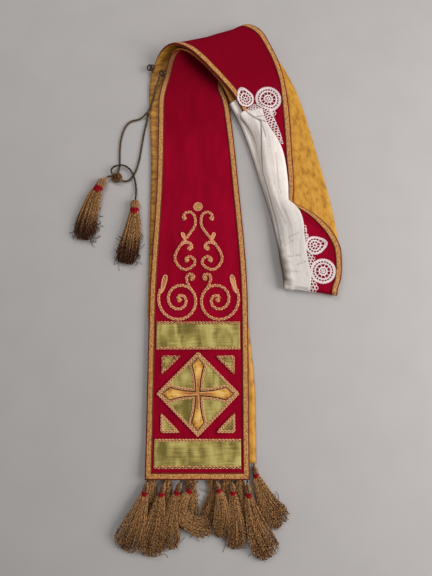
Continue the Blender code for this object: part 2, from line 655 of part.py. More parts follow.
def build_scrolls(half, materials):
    """The dot and the two pairs of mirrored scrolls."""
    gold = materials["gold_cord"]
    middle = half.width_at(SCROLL_ALONG) / 2
    dot = [(SCROLL_ALONG + DOT_RADIUS * sin(2 * pi * k / 14),
            middle - DOT_RADIUS * cos(2 * pi * k / 14)) for k in range(14)]
    panel_prism("embroidery_dot", half, dot, GALLOON_LOW, APPLIQUE_TOP, gold)
    for mirror, tag in ((1, "inner"), (-1, "outer")):
        for level, line, branch, bud in (
                ("upper", arc_chain(*UPPER_SCROLL), UPPER_BRANCH, UPPER_BUD),
                ("lower", spiral_points(*LOWER_SPIRAL), LOWER_BRANCH, LOWER_BUD)):
            scroll = stroke(f"scroll_{level}_{tag}", half, line, LINE_WIDTH, mirror, gold)
            bud_points, bud_width = leaf(*bud)
            extras = [
                stroke(f"cut_branch_{level}_{tag}", half, arc_chain(*branch), LINE_WIDTH * BRANCH_SHARE,
                       mirror, gold, GALLOON_LOW + BRANCH_INSET[0], APPLIQUE_TOP - BRANCH_INSET[1]),
                stroke(f"cut_bud_{level}_{tag}", half, bud_points, bud_width, mirror, gold,
                       GALLOON_LOW + BUD_INSET[0], APPLIQUE_TOP - BUD_INSET[1])]
            join_pieces(scroll, extras)


# ---------------------------------------------------------------- linen and lace

def linen_off(across, side):
    """Height of the linen's seam-side skin: over the galloon by the edge, then down on the cloth."""
    if side < 0:
        return LINING_BOTTOM - LINEN_AIR
    settle = min(1.0, max(0.0, (across - GALLOON_WIDTH) / LINEN_SETTLE))
    return GALLOON_TOP + AIR - settle * (GALLOON_TOP - FACE_TOP - LINEN_CLOTH_AIR)


def linen_reach(half, index):
    """Share of the width the linen covers on the face side, more near the centre back."""
    seam = half.along[0] if half.along[0] > 0 else half.along[-1]
    near = (LINEN_GAIN_ENDS - abs(half.along[index] - seam)) / LINEN_GAIN_FADE
    return LINEN_REACH + LINEN_REACH_GAIN * min(1.0, max(0.0, near))


def linen_profile(half, index, skin):
    """Points round the inner edge from the face side to the lining side; skin is the thickness."""
    width = half.widths[index]
    reach = linen_reach(half, index)
    shares = (*LINEN_FACE_SHARES, (LINEN_FACE_SHARES[-1] + reach) / 2, reach)
    face_columns = [*LINEN_COLUMNS, *(share * width for share in shares)]
    lining_columns = [*LINEN_COLUMNS, *(share * width for share in LINEN_LINING_SHARES)]
    along = half.along[index]
    points = []
    for a in reversed(face_columns):
        points.append(half.place(along, a, linen_off(a, 1) + skin))
    edge = half.points[index][0]
    outwards = (half.points[index][0] - half.points[index][1]).normalized()
    normal = half.normals[index][0]
    top = linen_off(0, 1) + skin
    bottom = linen_off(0, -1) - skin
    for part in (0.8, 0.2):
        points.append(edge + normal * (bottom + part * (top - bottom)) + outwards * (LINEN_WRAP + skin))
    for a in lining_columns:
        points.append(half.place(along, a, linen_off(a, -1) - skin))
    return points


def build_linen(half_a, half_b, materials):
    """The protector strip folded over the neck edge of both layers and round the centre-back fold."""
    first_a = len(half_a.along) - LINEN_SECTIONS_A
    picks = [(half_a, index) for index in range(first_a, len(half_a.along) - 1)]
    picks += [(half_b, index) for index in range(LINEN_SECTIONS_B)]
    inner = [linen_profile(half, index, 0.0) for half, index in picks]
    outer = [linen_profile(half, index, LINEN_THICKNESS) for half, index in picks]
    inner = [profile[::-1] for profile in inner]
    outer = [profile[::-1] for profile in outer]
    wall("linen_protector", inner, outer, materials["linen"])


def scallop_rim(scallop, count=9):
    """Outer rim points of one lace scallop, an arc that faces away from the linen."""
    points = []
    for k in range(count + 1):
        angle = radians(scallop.facing - scallop.span / 2 + scallop.span * k / count)
        points.append((scallop.x + scallop.radius * cos(angle), scallop.y + scallop.radius * sin(angle)))
    return points


def wheel_holes(centre_x, centre_y, radius, facing, count, hole):
    """Holes of a wheel motif: a ring of eyelets round the hub."""
    holes = []
    for k in range(count):
        angle = radians(facing) + 2 * pi * (k + 0.5) / count
        holes.append((centre_x + radius * cos(angle), centre_y + radius * sin(angle), hole, angle))
    return holes


def lace_piece(name, ground, outline, holes, material):
    """A cutwork sheet: a filled outline with holes, laid on the cloth below it."""
    curve = bpy.data.curves.new(name + "_cut", "CURVE")
    curve.dimensions = "2D"
    curve.fill_mode = "BOTH"
    curve.extrude = 0.5
    loops = [outline]
    for x, y, radius, angle in holes:
        loops.append([(x + radius * cos(angle + 2 * pi * k / 4), y + radius * sin(angle + 2 * pi * k / 4))
                      for k in range(4)])
    for loop in loops:
        spline = curve.splines.new("POLY")
        spline.points.add(len(loop) - 1)
        for point, (x, y) in zip(spline.points, loop):
            point.co = (x, y, 0, 1)
        spline.use_cyclic_u = True
    flat = bpy.data.objects.new(name + "_cut", curve)
    bpy.context.scene.collection.objects.link(flat)
    shape = bpy.data.meshes.new_from_object(flat.evaluated_get(bpy.context.evaluated_depsgraph_get()))
    bpy.data.objects.remove(flat, do_unlink=True)
    bm = bmesh.new()
    bm.from_mesh(shape)
    bmesh.ops.remove_doubles(bm, verts=bm.verts, dist=0.01)
    for vertex in bm.verts:
        top = vertex.co.z > 0
        hit, normal, _, _ = ground.ray_cast(Vector((vertex.co.x, vertex.co.y, 100)), Vector((0, 0, -1)))
        lift = (LACE_LOW + (LACE_THICKNESS if top else 0)) / max(normal.z, 0.6)
        vertex.co.z = hit.z + lift
    bmesh.ops.triangulate(bm, faces=bm.faces)
    return finish(name, bm, material)


def face_ground(half):
    """The face side of a half, as a surface that a ray can find."""
    points = []
    quads = []
    columns = len(half.across[0])
    for i in range(LACE_ROWS):
        for j in range(columns):
            over_galloon = half.across[i][j] < GALLOON_WIDTH + 0.1
            points.append(half.place(*half.station(i, j), GALLOON_TOP if over_galloon else FACE_TOP))
    for i in range(LACE_ROWS - 1):
        for j in range(columns - 1):
            corner = i * columns + j
            quads.append((corner, corner + 1, corner + columns + 1, corner + columns))
    return BVHTree.FromPolygons(points, quads)


def build_lace(half_b, materials):
    """The two stretches of lace edging that show beyond the linen."""
    ground = face_ground(half_b)
    for name, lace in LACE.items():
        outline = []
        for index, past, share in lace.seam:
            across = (linen_reach(half_b, index) + share) * half_b.widths[index]
            point = half_b.place(half_b.along[index] + past, across, FACE_TOP)
            outline.append((point.x, point.y))
        outline += lace.corner
        holes = []
        for motif in lace.scallops:
            outline += scallop_rim(motif)
            x, y, radius, facing, _ = motif
            holes += wheel_holes(x, y, radius * HOLE_RING, facing, round(radius * HOLES_PER_MM),
                                 radius * HOLE_RADIUS)
        outline += lace.tail
        lace_piece(name, ground, outline, holes, materials["lace"])


# ---------------------------------------------------------------- tassels

def tassel_path(tassel, heights):
    """Position and heading of the middle line at a fraction of its length."""
    root = Vector((tassel.root_x, tassel.root_y))
    middle = Vector((tassel.middle_x, tassel.middle_y))
    end = Vector((tassel.end_x, tassel.end_y))
    control = 2 * middle - (root + end) / 2

    def bezier(t):
        return root * (1 - t) ** 2 + control * 2 * t * (1 - t) + end * t ** 2

    samples = [bezier(k / PATH_SAMPLES) for k in range(PATH_SAMPLES + 1)]
    lengths = [0.0]
    for low, high in zip(samples, samples[1:]):
        lengths.append(lengths[-1] + (high - low).length)

    def at(part):
        wanted = part * lengths[-1]
        k = 0
        while k < PATH_SAMPLES - 1 and lengths[k + 1] < wanted:
            k += 1
        t = (k + (wanted - lengths[k]) / (lengths[k + 1] - lengths[k])) / PATH_SAMPLES
        plan = bezier(t)
        slope = (control - root) * (1 - t) + (end - control) * t
        low = max(knot for knot in heights if knot[0] <= part)
        high = min((knot for knot in heights if knot[0] > part), default=low)
        blend = 0 if high == low else (part - low[0]) / (high[0] - low[0])
        return Vector((plan.x, plan.y, low[1] + blend * (high[1] - low[1]))), slope.normalized()
    return at


def make_tassel(name, tassel, size, heights, material):
    """Head, binding and a skirt of locks that grow from the head's lower side, as one body."""
    total = size.string + size.head_long + size.binding + size.skirt
    neck = size.string + size.head_long
    cap = neck + size.binding
    rings = ((0.0, CORD_DIAMETER / 2 * 0.8), (size.string, CORD_DIAMETER / 2),
             (size.string + 0.5 * size.head_long, size.head_radius),
             (neck, size.head_radius * NECK_SHARE), (cap, size.head_radius * CAP_SHARE))
    bm = bmesh.new()
    first = bmesh.ops.create_circle(bm, cap_ends=True, segments=size.sides, radius=rings[0][1])
    face = bm.faces[:][0]
    for low, high in zip(rings, rings[1:]):
        grown = bmesh.ops.extrude_discrete_faces(bm, faces=[face])
        face = grown["faces"][0]
        for vertex in face.verts:
            vertex.co = Vector((vertex.co.x * high[1] / low[1], vertex.co.y * high[1] / low[1], high[0]))
    bottom_edges = [edge for edge in bm.edges if all(abs(v.co.z) < 1e-6 for v in edge.verts)]
    bmesh.ops.contextual_create(bm, geom=bottom_edges)
    fan = bmesh.ops.poke(bm, faces=[face])["faces"]
    bmesh.ops.inset_individual(bm, faces=fan, thickness=LOCK_INSET, use_even_offset=True)
    locks = fan
    for reach, narrowing in LOCK_STEPS:
        locks = bmesh.ops.extrude_discrete_faces(bm, faces=locks)["faces"]
        for face in locks:
            middle = face.calc_center_median()
            for vertex in face.verts:
                vertex.co = middle + (vertex.co - middle) * narrowing
                vertex.co.z = cap + reach * size.skirt
    at = tassel_path(tassel, heights)
    wide = tassel.spread / (2 * size.head_radius * CAP_SHARE)
    for vertex in bm.verts:
        length = vertex.co.z
        point, heading = at(length / total)
        part = max(0.0, (length - cap) / size.skirt)
        spread = 1 + (wide - 1) * part ** SPREAD_POWER
        side = Vector((heading.y, -heading.x, 0)) * vertex.co.x * spread
        vertex.co = point + side + Vector((0, 0, vertex.co.y * size.flatness))
    bm.normal_update()
    bmesh.ops.triangulate(bm, faces=[f for f in bm.faces if len(f.verts) > 4])
    return finish(name, bm, material)


def build_tassels(materials):
    """Seven tassels on each hem and one on each end of the tie cord."""
    strands = materials["tassel"]
    lying = TASSEL_AIR + HEM_TASSEL.head_radius * HEM_TASSEL.flatness
    front_heights = ((0.0, 9.6), (0.12, lying + FRONT_TASSEL_LIFT), (0.72, lying + FRONT_TASSEL_LIFT),
                     (1.01, lying + 1.5))
    for number, tassel in enumerate(FRONT_TASSELS, 1):
        make_tassel(f"tassel_front_{number}", tassel, HEM_TASSEL, front_heights, strands)
    back_heights = ((0.0, 2.4), (0.1, lying), (1.01, lying))
    for number, tassel in enumerate(BACK_TASSELS, 1):
        make_tassel(f"tassel_back_{number}", tassel, HEM_TASSEL, back_heights, strands)
    lying = TASSEL_AIR + CORD_TASSEL.head_radius * CORD_TASSEL.flatness
    for name, tassel in CORD_TASSELS.items():
        string, start_height = CORD_TASSEL_STRINGS[name]
        size = CORD_TASSEL._replace(string=string)
        make_tassel(name, tassel, size, ((0.0, start_height), (0.1, lying), (1.01, lying)), strands)


# ---------------------------------------------------------------- tie cord

def smooth_route(points, spacing):
    """Points at even spacing along a smooth curve through a route."""
    points = [Vector(point) for point in points]
    fine = []
    for k in range(len(points) - 1):
        before = points[max(k - 1, 0)]
        after = points[min(k + 2, len(points) - 1)]
        low, high = points[k], points[k + 1]
        for step in range(12):
            t = step / 12
            fine.append(0.5 * (2 * low + (high - before) * t
                               + (2 * before - 5 * low + 4 * high - after) * t ** 2
                               + (3 * low - before - 3 * high + after) * t ** 3))
    fine.append(points[-1])
    lengths = [0.0]
    for low, high in zip(fine, fine[1:]):
        lengths.append(lengths[-1] + (high - low).length)
    count = max(2, round(lengths[-1] / spacing))
    route = []
    k = 0
    for step in range(count + 1):
        wanted = lengths[-1] * step / count
        while k < len(fine) - 2 and lengths[k + 1] < wanted:
            k += 1
        part = (wanted - lengths[k]) / (lengths[k + 1] - lengths[k])
        route.append(fine[k].lerp(fine[k + 1], min(1.0, part)))
    return route


def make_cord(name, points, material):
    """A round cord along a route, as a curve with a bevel."""
    route = smooth_route(points, 2.5 * CORD_DIAMETER)
    curve = bpy.data.curves.new(name, "CURVE")
    curve.dimensions = "3D"
    curve.bevel_depth = CORD_DIAMETER / 2 * MM
    curve.bevel_resolution = 2
    curve.use_fill_caps = True
    spline = curve.splines.new("POLY")
    spline.points.add(len(route) - 1)
    for target, point in zip(spline.points, route):
        target.co = (*((point - Vector((ORIGIN_X, ORIGIN_Y, 0))) * MM), 1)
    curve.materials.append(material)
    thing = bpy.data.objects.new(name, curve)
    bpy.context.scene.collection.objects.link(thing)
    return thing


def make_loop(name, x, y, z, radius, material):
    """A small ring of cord sewn to the ribbon's edge."""
    bm = bmesh.new()
    thick = CORD_DIAMETER / 2 * LOOP_SHARE
    section = bmesh.ops.create_circle(bm, segments=6, radius=thick)["verts"]
    for vertex in section:
        vertex.co = Vector((vertex.co.x + radius, 0, vertex.co.y))
    bmesh.ops.spin(bm, geom=bm.verts[:] + bm.edges[:], axis=(0, 0, 1), cent=(0, 0, 0),
                   angle=2 * pi, steps=12, use_merge=True)
    for vertex in bm.verts:
        vertex.co = Vector((x + vertex.co.x, y + vertex.co.y * LOOP_STRETCH, z + vertex.co.z))
    return finish(name, bm, material, smooth=True)


def build_cord(materials):
    """Two edge loops, the strands, the knot and the ring, each lying where it falls."""
    cord = materials["cord"]
    for name, (x, y, z, radius) in LOOPS.items():
        make_loop(name, x, y, z, radius, cord)
    for name, points in CORDS.items():
        make_cord(name, points, cord)
    bm = bmesh.new()
    bmesh.ops.create_uvsphere(bm, u_segments=12, v_segments=7, radius=1.0)
    for vertex in bm.verts:
        vertex.co = Vector([c + v * r for c, v, r in zip(KNOT, vertex.co, KNOT_RADII)])
    finish("cord_knot", bm, cord, smooth=True)


def main():
    """Build the whole stole."""
    start_empty()
    materials = {
        "wool": make_material("crimson_wool", (0.25, 0.005, 0.02), 0.85),
        "lining": make_material("gold_sateen", (0.62, 0.33, 0.04), 0.5),
        "galloon": make_material("gold_galloon", (0.55, 0.30, 0.10), 0.55),
        "green": make_material("green_silk", (0.45, 0.42, 0.10), 0.45),
        "orphrey": make_material("gold_silk", (0.72, 0.40, 0.06), 0.45),
        "gold_cord": make_material("couched_gold_cord", (0.50, 0.28, 0.12), 0.5),
        "linen": make_material("white_linen", (0.68, 0.64, 0.60), 0.9),
        "lace": make_material("white_lace", (0.85, 0.80, 0.78), 0.9),
        "tassel": make_material("gold_tassel_thread", (0.30, 0.16, 0.06), 0.6),
        "cord": make_material("gold_tie_cord", (0.14, 0.08, 0.03), 0.6),
    }
    seam_step = BACK_FOLD_STEPS // 2
    sections_a = FRONT_PANEL + INNER_FOLD + NECK_UNDER + back_fold(0, seam_step + 1)
    half_a = Half(sections_a, columns_a, 0.0, joined_after=1)
    sections_b = back_fold(seam_step - 1, BACK_FOLD_STEPS) + NECK_OVER + OUTER_FOLD + BACK_PANEL
    half_b = Half(sections_b, columns_b, half_a.along[-1], joined_before=1)
    build_half("a", half_a, 0, materials)
    build_half("b", half_b, len(half_b.along) - 1, materials)
    build_applique(half_a, materials)
    build_scrolls(half_a, materials)
    build_linen(half_a, half_b, materials)
    build_lace(half_b, materials)
    build_tassels(materials)
    build_cord(materials)


main()
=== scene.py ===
"""Clerical stole laid out on a table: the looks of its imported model, laid out as an add-on.

The stole is one long ribbon in two halves that are sewn together at the centre back.
Half A is the front panel, which lies face up on top of everything at the left.
Half B is the back panel, which lies face down below it.

Lengths in the tables are millimetres in the layout: X right, Y up the panels, Z off the table.
Every piece that lies on the ribbon is placed by (along, across, off):
    along   distance from the hem of half A, up the ribbon, to the hem of half B
    across  distance from the inner (neck) edge towards the outer edge
    off     height over the seam plane between face and lining, positive on the face side
"""

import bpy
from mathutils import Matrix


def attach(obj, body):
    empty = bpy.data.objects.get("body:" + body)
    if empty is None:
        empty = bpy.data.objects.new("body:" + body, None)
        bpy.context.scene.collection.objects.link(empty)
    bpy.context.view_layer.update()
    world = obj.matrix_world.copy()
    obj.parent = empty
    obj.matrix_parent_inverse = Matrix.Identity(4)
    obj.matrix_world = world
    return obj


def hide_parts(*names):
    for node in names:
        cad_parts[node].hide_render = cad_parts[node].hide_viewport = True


bl_info = {
    "name": "Clerical Stole",
    "version": (1, 0, 0),
    "blender": (4, 5, 0),
    "location": "3D View > Sidebar > Stole",
    "description": "Dresses a laid-out stole: wool, sateen lining, braid, applique, linen, lace and tassels",
    "category": "Object",
}

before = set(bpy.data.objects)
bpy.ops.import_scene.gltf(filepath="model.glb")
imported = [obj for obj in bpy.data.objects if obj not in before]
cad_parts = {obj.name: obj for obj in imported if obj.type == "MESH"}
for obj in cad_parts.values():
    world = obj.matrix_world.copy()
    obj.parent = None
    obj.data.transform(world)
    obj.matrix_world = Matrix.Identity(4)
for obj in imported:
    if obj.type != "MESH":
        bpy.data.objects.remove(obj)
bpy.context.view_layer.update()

import random
from collections import namedtuple
from functools import partial
from math import atan2, cos, hypot, pi, radians, sin

import bmesh
import bpy
import numpy as np
from bpy.props import FloatProperty, FloatVectorProperty, IntProperty, PointerProperty
from mathutils import Vector
from mathutils.bvhtree import BVHTree

MM = 0.001
ORIGIN_X = 29.0            # centre of the stole's box in the layout
ORIGIN_Y = 31.1
SEED = 7

# Cloth walls, as heights over the seam plane
AIR = 0.3
SEAM_HALF = AIR / 2
FACE_TOP = SEAM_HALF + 1.2
LINING_BOTTOM = -SEAM_HALF - 0.9
GALLOON_LOW = FACE_TOP + AIR
GALLOON_TOP = GALLOON_LOW + 0.9
GALLOON_WIDTH = 10.0
APPLIQUE_TOP = GALLOON_LOW + 1.0
CROSS_TOP = APPLIQUE_TOP + AIR + 1.0
LINEN_THICKNESS = 0.7
LINEN_AIR = 0.8
LINEN_WRAP = 1.4

# Sections of the ribbon: its inner and outer edge, and how far it is rolled over itself, 0 to 1
Section = namedtuple("Section", "inner_x inner_y inner_z outer_x outer_y outer_z roll", defaults=(0,))

# Half A, front panel: from the hem, propped by the tassels under it, to the foot of the open fold
FRONT_PANEL = [Section(*row) for row in (
    (-102.5, -282.6, 9.6, 48.7, -282.6, 9.6),
    (-102.7, -268.0, 9.1, 48.8, -268.0, 9.1),
    (-102.9, -247.0, 7.0, 48.9, -247.0, 7.0),
    (-103.0, -226.0, 4.95, 49.0, -226.0, 4.95),
    (-103.4, -35.5, 4.95, 49.4, -35.5, 4.95),
    (-96.0, 195.4, 4.95, 34.2, 195.4, 4.95),
    (-96.3, 284.4, 4.95, 25.1, 284.4, 4.95),
    (-96.5, 318.0, 5.0, 20.0, 318.0, 5.0),
)]

# Half A inside the open fold: the panel turns up and over its own face
INNER_FOLD = [Section(*row) for row in (
    (-93.5, 338.0, 6.4, 12.5, 341.0, 5.0),
    (-88.4, 355.0, 10.0, 11.0, 362.0, 5.3),
    (-84.0, 370.0, 16.5, 14.0, 384.0, 6.0),
    (-79.5, 381.0, 24.5, 18.0, 401.0, 7.0),
    (-73.0, 389.0, 31.5, 25.0, 415.0, 8.6),
    (-65.0, 391.5, 36.4, 33.0, 425.0, 10.4),
    (-55.0, 389.5, 38.8, 42.0, 431.5, 12.0),
    (-43.0, 383.5, 38.9, 53.0, 435.0, 13.0),
)]

# Half A as the lower layer of the neck, face down on the table
NECK_UNDER = [Section(*row) for row in (
    (-26.0, 370.5, 36.0, 65.0, 436.0, 13.0),
    (-8.0, 355.0, 30.0, 77.0, 430.0, 12.3),
    (9.0, 337.5, 22.5, 88.0, 420.0, 10.5),
    (18.0, 323.0, 16.0, 101.0, 402.0, 8.0),
    (24.0, 310.0, 11.4, 115.0, 380.0, 5.6),
    (31.0, 297.0, 8.0, 127.0, 357.0, 4.0),
    (41.5, 276.0, 5.4, 141.0, 322.0, 3.0),
    (58.5, 227.3, 3.8, 157.0, 262.0, 2.55),
    (75.0, 168.5, 3.7, 171.5, 201.0, 2.55),
    (89.0, 119.0, 3.7, 184.0, 147.0, 2.55),
    (98.5, 75.0, 3.7, 193.5, 90.0, 2.55),
    (104.0, 42.0, 3.7, 197.5, 46.0, 2.55),
    (106.5, 20.0, 3.7, 195.5, 15.0, 2.55),
)]

# Half B as the upper layer of the neck, rolled over itself
NECK_OVER = [Section(*row) for row in (
    (105.5, 20.0, 10.0, 194.0, 13.0, 11.5, 0),
    (102.3, 39.1, 10.2, 196.0, 34.0, 13.0, 0),
    (99.5, 66.0, 10.2, 195.5, 57.0, 14.0, 0.06),
    (97.8, 80.5, 10.1, 188.5, 78.5, 13.6, 0.18),
    (96.3, 92.7, 10.0, 180.0, 93.0, 12.8, 0.32),
    (94.8, 103.5, 9.8, 170.0, 105.0, 11.9, 0.47),
    (93.2, 114.5, 9.6, 157.6, 117.0, 10.8, 0.64),
    (90.6, 127.0, 9.3, 140.0, 129.0, 9.2, 0.82),
    (88.0, 140.0, 9.0, 124.6, 139.5, 7.6, 0.95),
    (84.0, 157.4, 9.0, 126.3, 159.5, 7.2, 1),
    (78.0, 186.6, 9.0, 126.3, 190.5, 7.0, 1),
    (73.0, 217.0, 9.0, 124.7, 224.0, 7.4, 0.9),
    (70.5, 232.0, 9.2, 124.2, 245.0, 7.7, 0.75),
    (67.0, 245.6, 9.5, 123.7, 264.6, 8.0, 0.6),
    (62.5, 257.0, 10.2, 122.9, 284.0, 8.5, 0.44),
    (57.0, 268.3, 11.0, 121.6, 303.8, 9.1, 0.29),
    (51.3, 280.5, 12.0, 119.0, 326.0, 10.0, 0.14),
    (45.0, 293.0, 13.2, 115.5, 349.0, 11.0, 0),
    (28.0, 321.8, 19.0, 104.5, 387.0, 14.0, 0),
    (9.9, 340.0, 27.0, 91.6, 415.7, 16.0, 0),
    (-9.8, 358.0, 34.5, 78.5, 438.7, 17.0, 0),
    (-27.7, 373.6, 40.5, 66.0, 449.0, 17.2, 0),
)]

# Half B over the open fold, the tall arch at the left
OUTER_FOLD = [Section(*row) for row in (
    (-45.6, 387.0, 43.5, 53.0, 453.0, 17.0),
    (-62.0, 395.0, 43.2, 41.0, 450.0, 14.0),
    (-76.0, 398.5, 38.2, 30.0, 443.5, 10.2),
    (-87.5, 397.0, 30.0, 19.5, 434.0, 6.8),
    (-97.0, 391.5, 20.0, 10.5, 420.0, 4.2),
    (-105.0, 381.0, 10.4, 5.0, 402.0, 2.9),
    (-111.5, 364.0, 4.2, 2.5, 376.0, 2.55),
    (-113.6, 339.0, 2.6, 4.0, 343.0, 2.55),
)]

# Half B, back panel, face down on the table, to its hem
BACK_PANEL = [Section(*row) for row in (
    (-112.0, 300.0, 2.55, 9.0, 300.0, 2.55),
    (-107.0, 195.0, 2.55, 22.5, 195.0, 2.55),
    (-106.0, -35.5, 2.55, 47.5, -35.5, 2.55),
    (-98.4, -97.0, 2.55, 54.1, -97.0, 2.55),
    (-93.4, -171.0, 2.55, 59.1, -171.0, 2.55),
    (-92.3, -260.5, 2.55, 59.2, -260.5, 2.55),
)]

# The soft fold at the centre back: its foot, and the turn in equal steps
BACK_FOLD_INNER = (107.6, 3.4)
BACK_FOLD_OUTER = (188.0, -7.4)
BACK_FOLD_UNDER = (3.7, 2.55)      # height of the lower layer at the inner and outer edge
BACK_FOLD_OVER = (9.9, 10.3)       # and of the upper layer
BACK_FOLD_STEPS = 6

# The rolled neck in section: fraction of the cloth's width, fraction of the chord, height in mm,
# and what the height gains where the neck is only half rolled
RollPoint = namedtuple("RollPoint", "width chord height half_gain")
ROLL = [RollPoint(*row) for row in (
    (0.0, 0.0, 0.0, 0.0),
    (0.06, 0.08, 4.8, 0.5),
    (0.14, 0.22, 9.0, 2.0),
    (0.23, 0.41, 10.8, 3.5),
    (0.32, 0.60, 10.5, 4.0),
    (0.37, 0.70, 9.2, 4.5),
    (0.392, 0.735, 7.2, 4.5),
    (0.415, 0.70, 5.5, 4.0),
    (0.48, 0.56, 5.1, 2.5),
    (0.565, 0.38, 4.8, 0.5),
    (0.61, 0.28, 3.8, 0.0),
    (0.64, 0.25, 1.6, 0.0),
    (0.665, 0.29, -0.4, 0.0),
    (0.725, 0.42, -0.8, 0.0),
    (0.86, 0.70, -0.5, 0.0),
    (1.0, 1.0, 0.0, 0.0),
)]

# Applique on the front panel
BAND_MARGIN = 12.6
GREEN_BANDS = {"green_band_lower": (16.0, 55.7), "green_band_upper": (187.3, 228.5)}
DIAMOND_ALONG = 121.3
DIAMOND_HALF = 61.5
CORNER_ALONG = 55.7        # from the diamond's middle to a corner triangle's right angle
CORNER_ACROSS = 54.5
CORNER_LEG = 27.5
CROSS_ARM = 53.0
CROSS_NECK = 5.0
CROSS_FLARE = 18.0

# Scroll embroidery, placed from the dot at its top: x across, y up the panel. A chain of arcs is its
# start, its heading in degrees and the arcs, each a length and a turn to the left
SCROLL_ALONG = 414.0
SCROLL_TALL = 1.06         # the scrolls are drawn out by this much along the panel
DOT_RADIUS = 7.4
VOLUTE_WIDTH = 7.6         # the lines end in small padded discs of this width
UPPER_SCROLL = (-19.7, -19.8, 187, (
    (5.5, -105), (7.9, -50), (7.3, -52), (11, -60), (7.4, -10), (10.8, -36), (25, -4), (13, 6),
    (11.4, 14), (11.7, 48), (11.4, 24), (11.7, 58), (11.2, 25), (8.7, 75), (8.9, 50), (7.3, 80),
    (5, 85)))
UPPER_BRANCH = (-26.0, -58.7, 35, ((8, -30), (7, -50), (6, -60), (4.5, -80), (3, -60)))
LOWER_SPIRAL = (-29.4, -142.5, 152, 1.99, 33.6, 3.5)
LOWER_BRANCH = (-11.5, -127.8, 128, (
    (14, -20), (6, -20), (4.5, -50), (5.5, -45), (5.5, -65), (4, -70), (3.5, -50)))
Bud = namedtuple("Bud", "length width x y heading")
UPPER_BUD = Bud(15.0, 5.5, -19.5, -55.0, 113)
LOWER_BUD = Bud(28.0, 8.5, -58.0, -133.0, 76)

# Linen protector
LINEN_REACH = 0.37         # of the ribbon's width, on the face side
LINEN_REACH_GAIN = 0.11    # more at the centre back
LINEN_HOLLOW = 0.11        # its edge draws in by this share where the lace's net shows
LINEN_LINING_SHARE = 0.23  # of the ribbon's width, on the lining side
LINEN_FACE_WIDTH = 62.0    # its cut on the side of the wool, at the widest
LINEN_SECTIONS_A = 13      # it starts this many sections before the end of half A
LINEN_SECTIONS_B = 21      # and ends at this section of half B
LACE_SECTIONS_B = 25       # the lace ends before this one

# Tassels: root, a point half way and the end, in plan; how far the skirt spreads
Tassel = namedtuple("Tassel", "root_x root_y middle_x middle_y end_x end_y spread")
FRONT_TASSELS = [Tassel(*row) for row in (
    (-98.5, -283.5, -111.0, -330.0, -130.8, -377.0, 28),
    (-74.0, -283.5, -84.5, -335.0, -92.0, -386.0, 25),
    (-50.0, -283.5, -63.5, -330.0, -66.0, -377.0, 21),
    (-26.0, -284.2, -48.0, -327.0, -6.0, -350.0, 19),
    (-1.0, -283.5, 8.5, -320.0, 5.5, -361.0, 19),
    (22.5, -283.5, 27.0, -330.0, 29.5, -376.0, 19),
    (45.0, -283.5, 54.0, -335.0, 77.0, -387.0, 27),
)]
BACK_TASSELS = [Tassel(*row) for row in (
    (-89.0, -261.4, -97.0, -305.0, -106.0, -352.0, 22),
    (-68.0, -261.4, -73.0, -310.0, -77.0, -360.0, 20),
    (-43.5, -261.4, -37.0, -305.0, -44.0, -352.0, 19),
    (-18.5, -261.4, -2.5, -300.0, -17.0, -340.0, 17),
    (11.0, -261.4, 18.5, -305.0, 22.0, -350.0, 18),
    (31.0, -261.4, 38.5, -312.0, 45.0, -362.0, 19),
    (55.5, -261.4, 67.0, -302.0, 95.0, -345.0, 27),
)]


class TasselSize(namedtuple("TasselSize", "string head_long head_radius binding skirt flatness")):
    """Sizes of a tassel: its string, its head, the binding round its neck and its skirt."""
    __slots__ = ()

    @property
    def neck(self):
        """Distance from the root to where the head ends."""
        return self.string + self.head_long

    @property
    def total(self):
        """Distance from the root to the end of the skirt."""
        return self.neck + self.binding + self.skirt


HEM_TASSEL = TasselSize(5.5, 11.0, 4.5, 5.5, 80.0, 0.78)
CORD_TASSEL = TasselSize(1.5, 14.0, 7.6, 9.5, 80.0, 0.86)
HEM_STRAYS = 12            # threads that have come loose from each skirt
CORD_STRAYS = 70
STRAY_RADIUS = 0.24
HEAD_THREAD = 0.75         # radius of the threads over a head
WINDING_RADIUS = 0.62      # of the silk wound round its neck
WINDING_PITCH = 0.95
TASSEL_AIR = 0.4           # the lowest strands lie this far over the table
FRONT_TASSEL_LIFT = 7.2    # the front panel's tassels lie on the back panel's

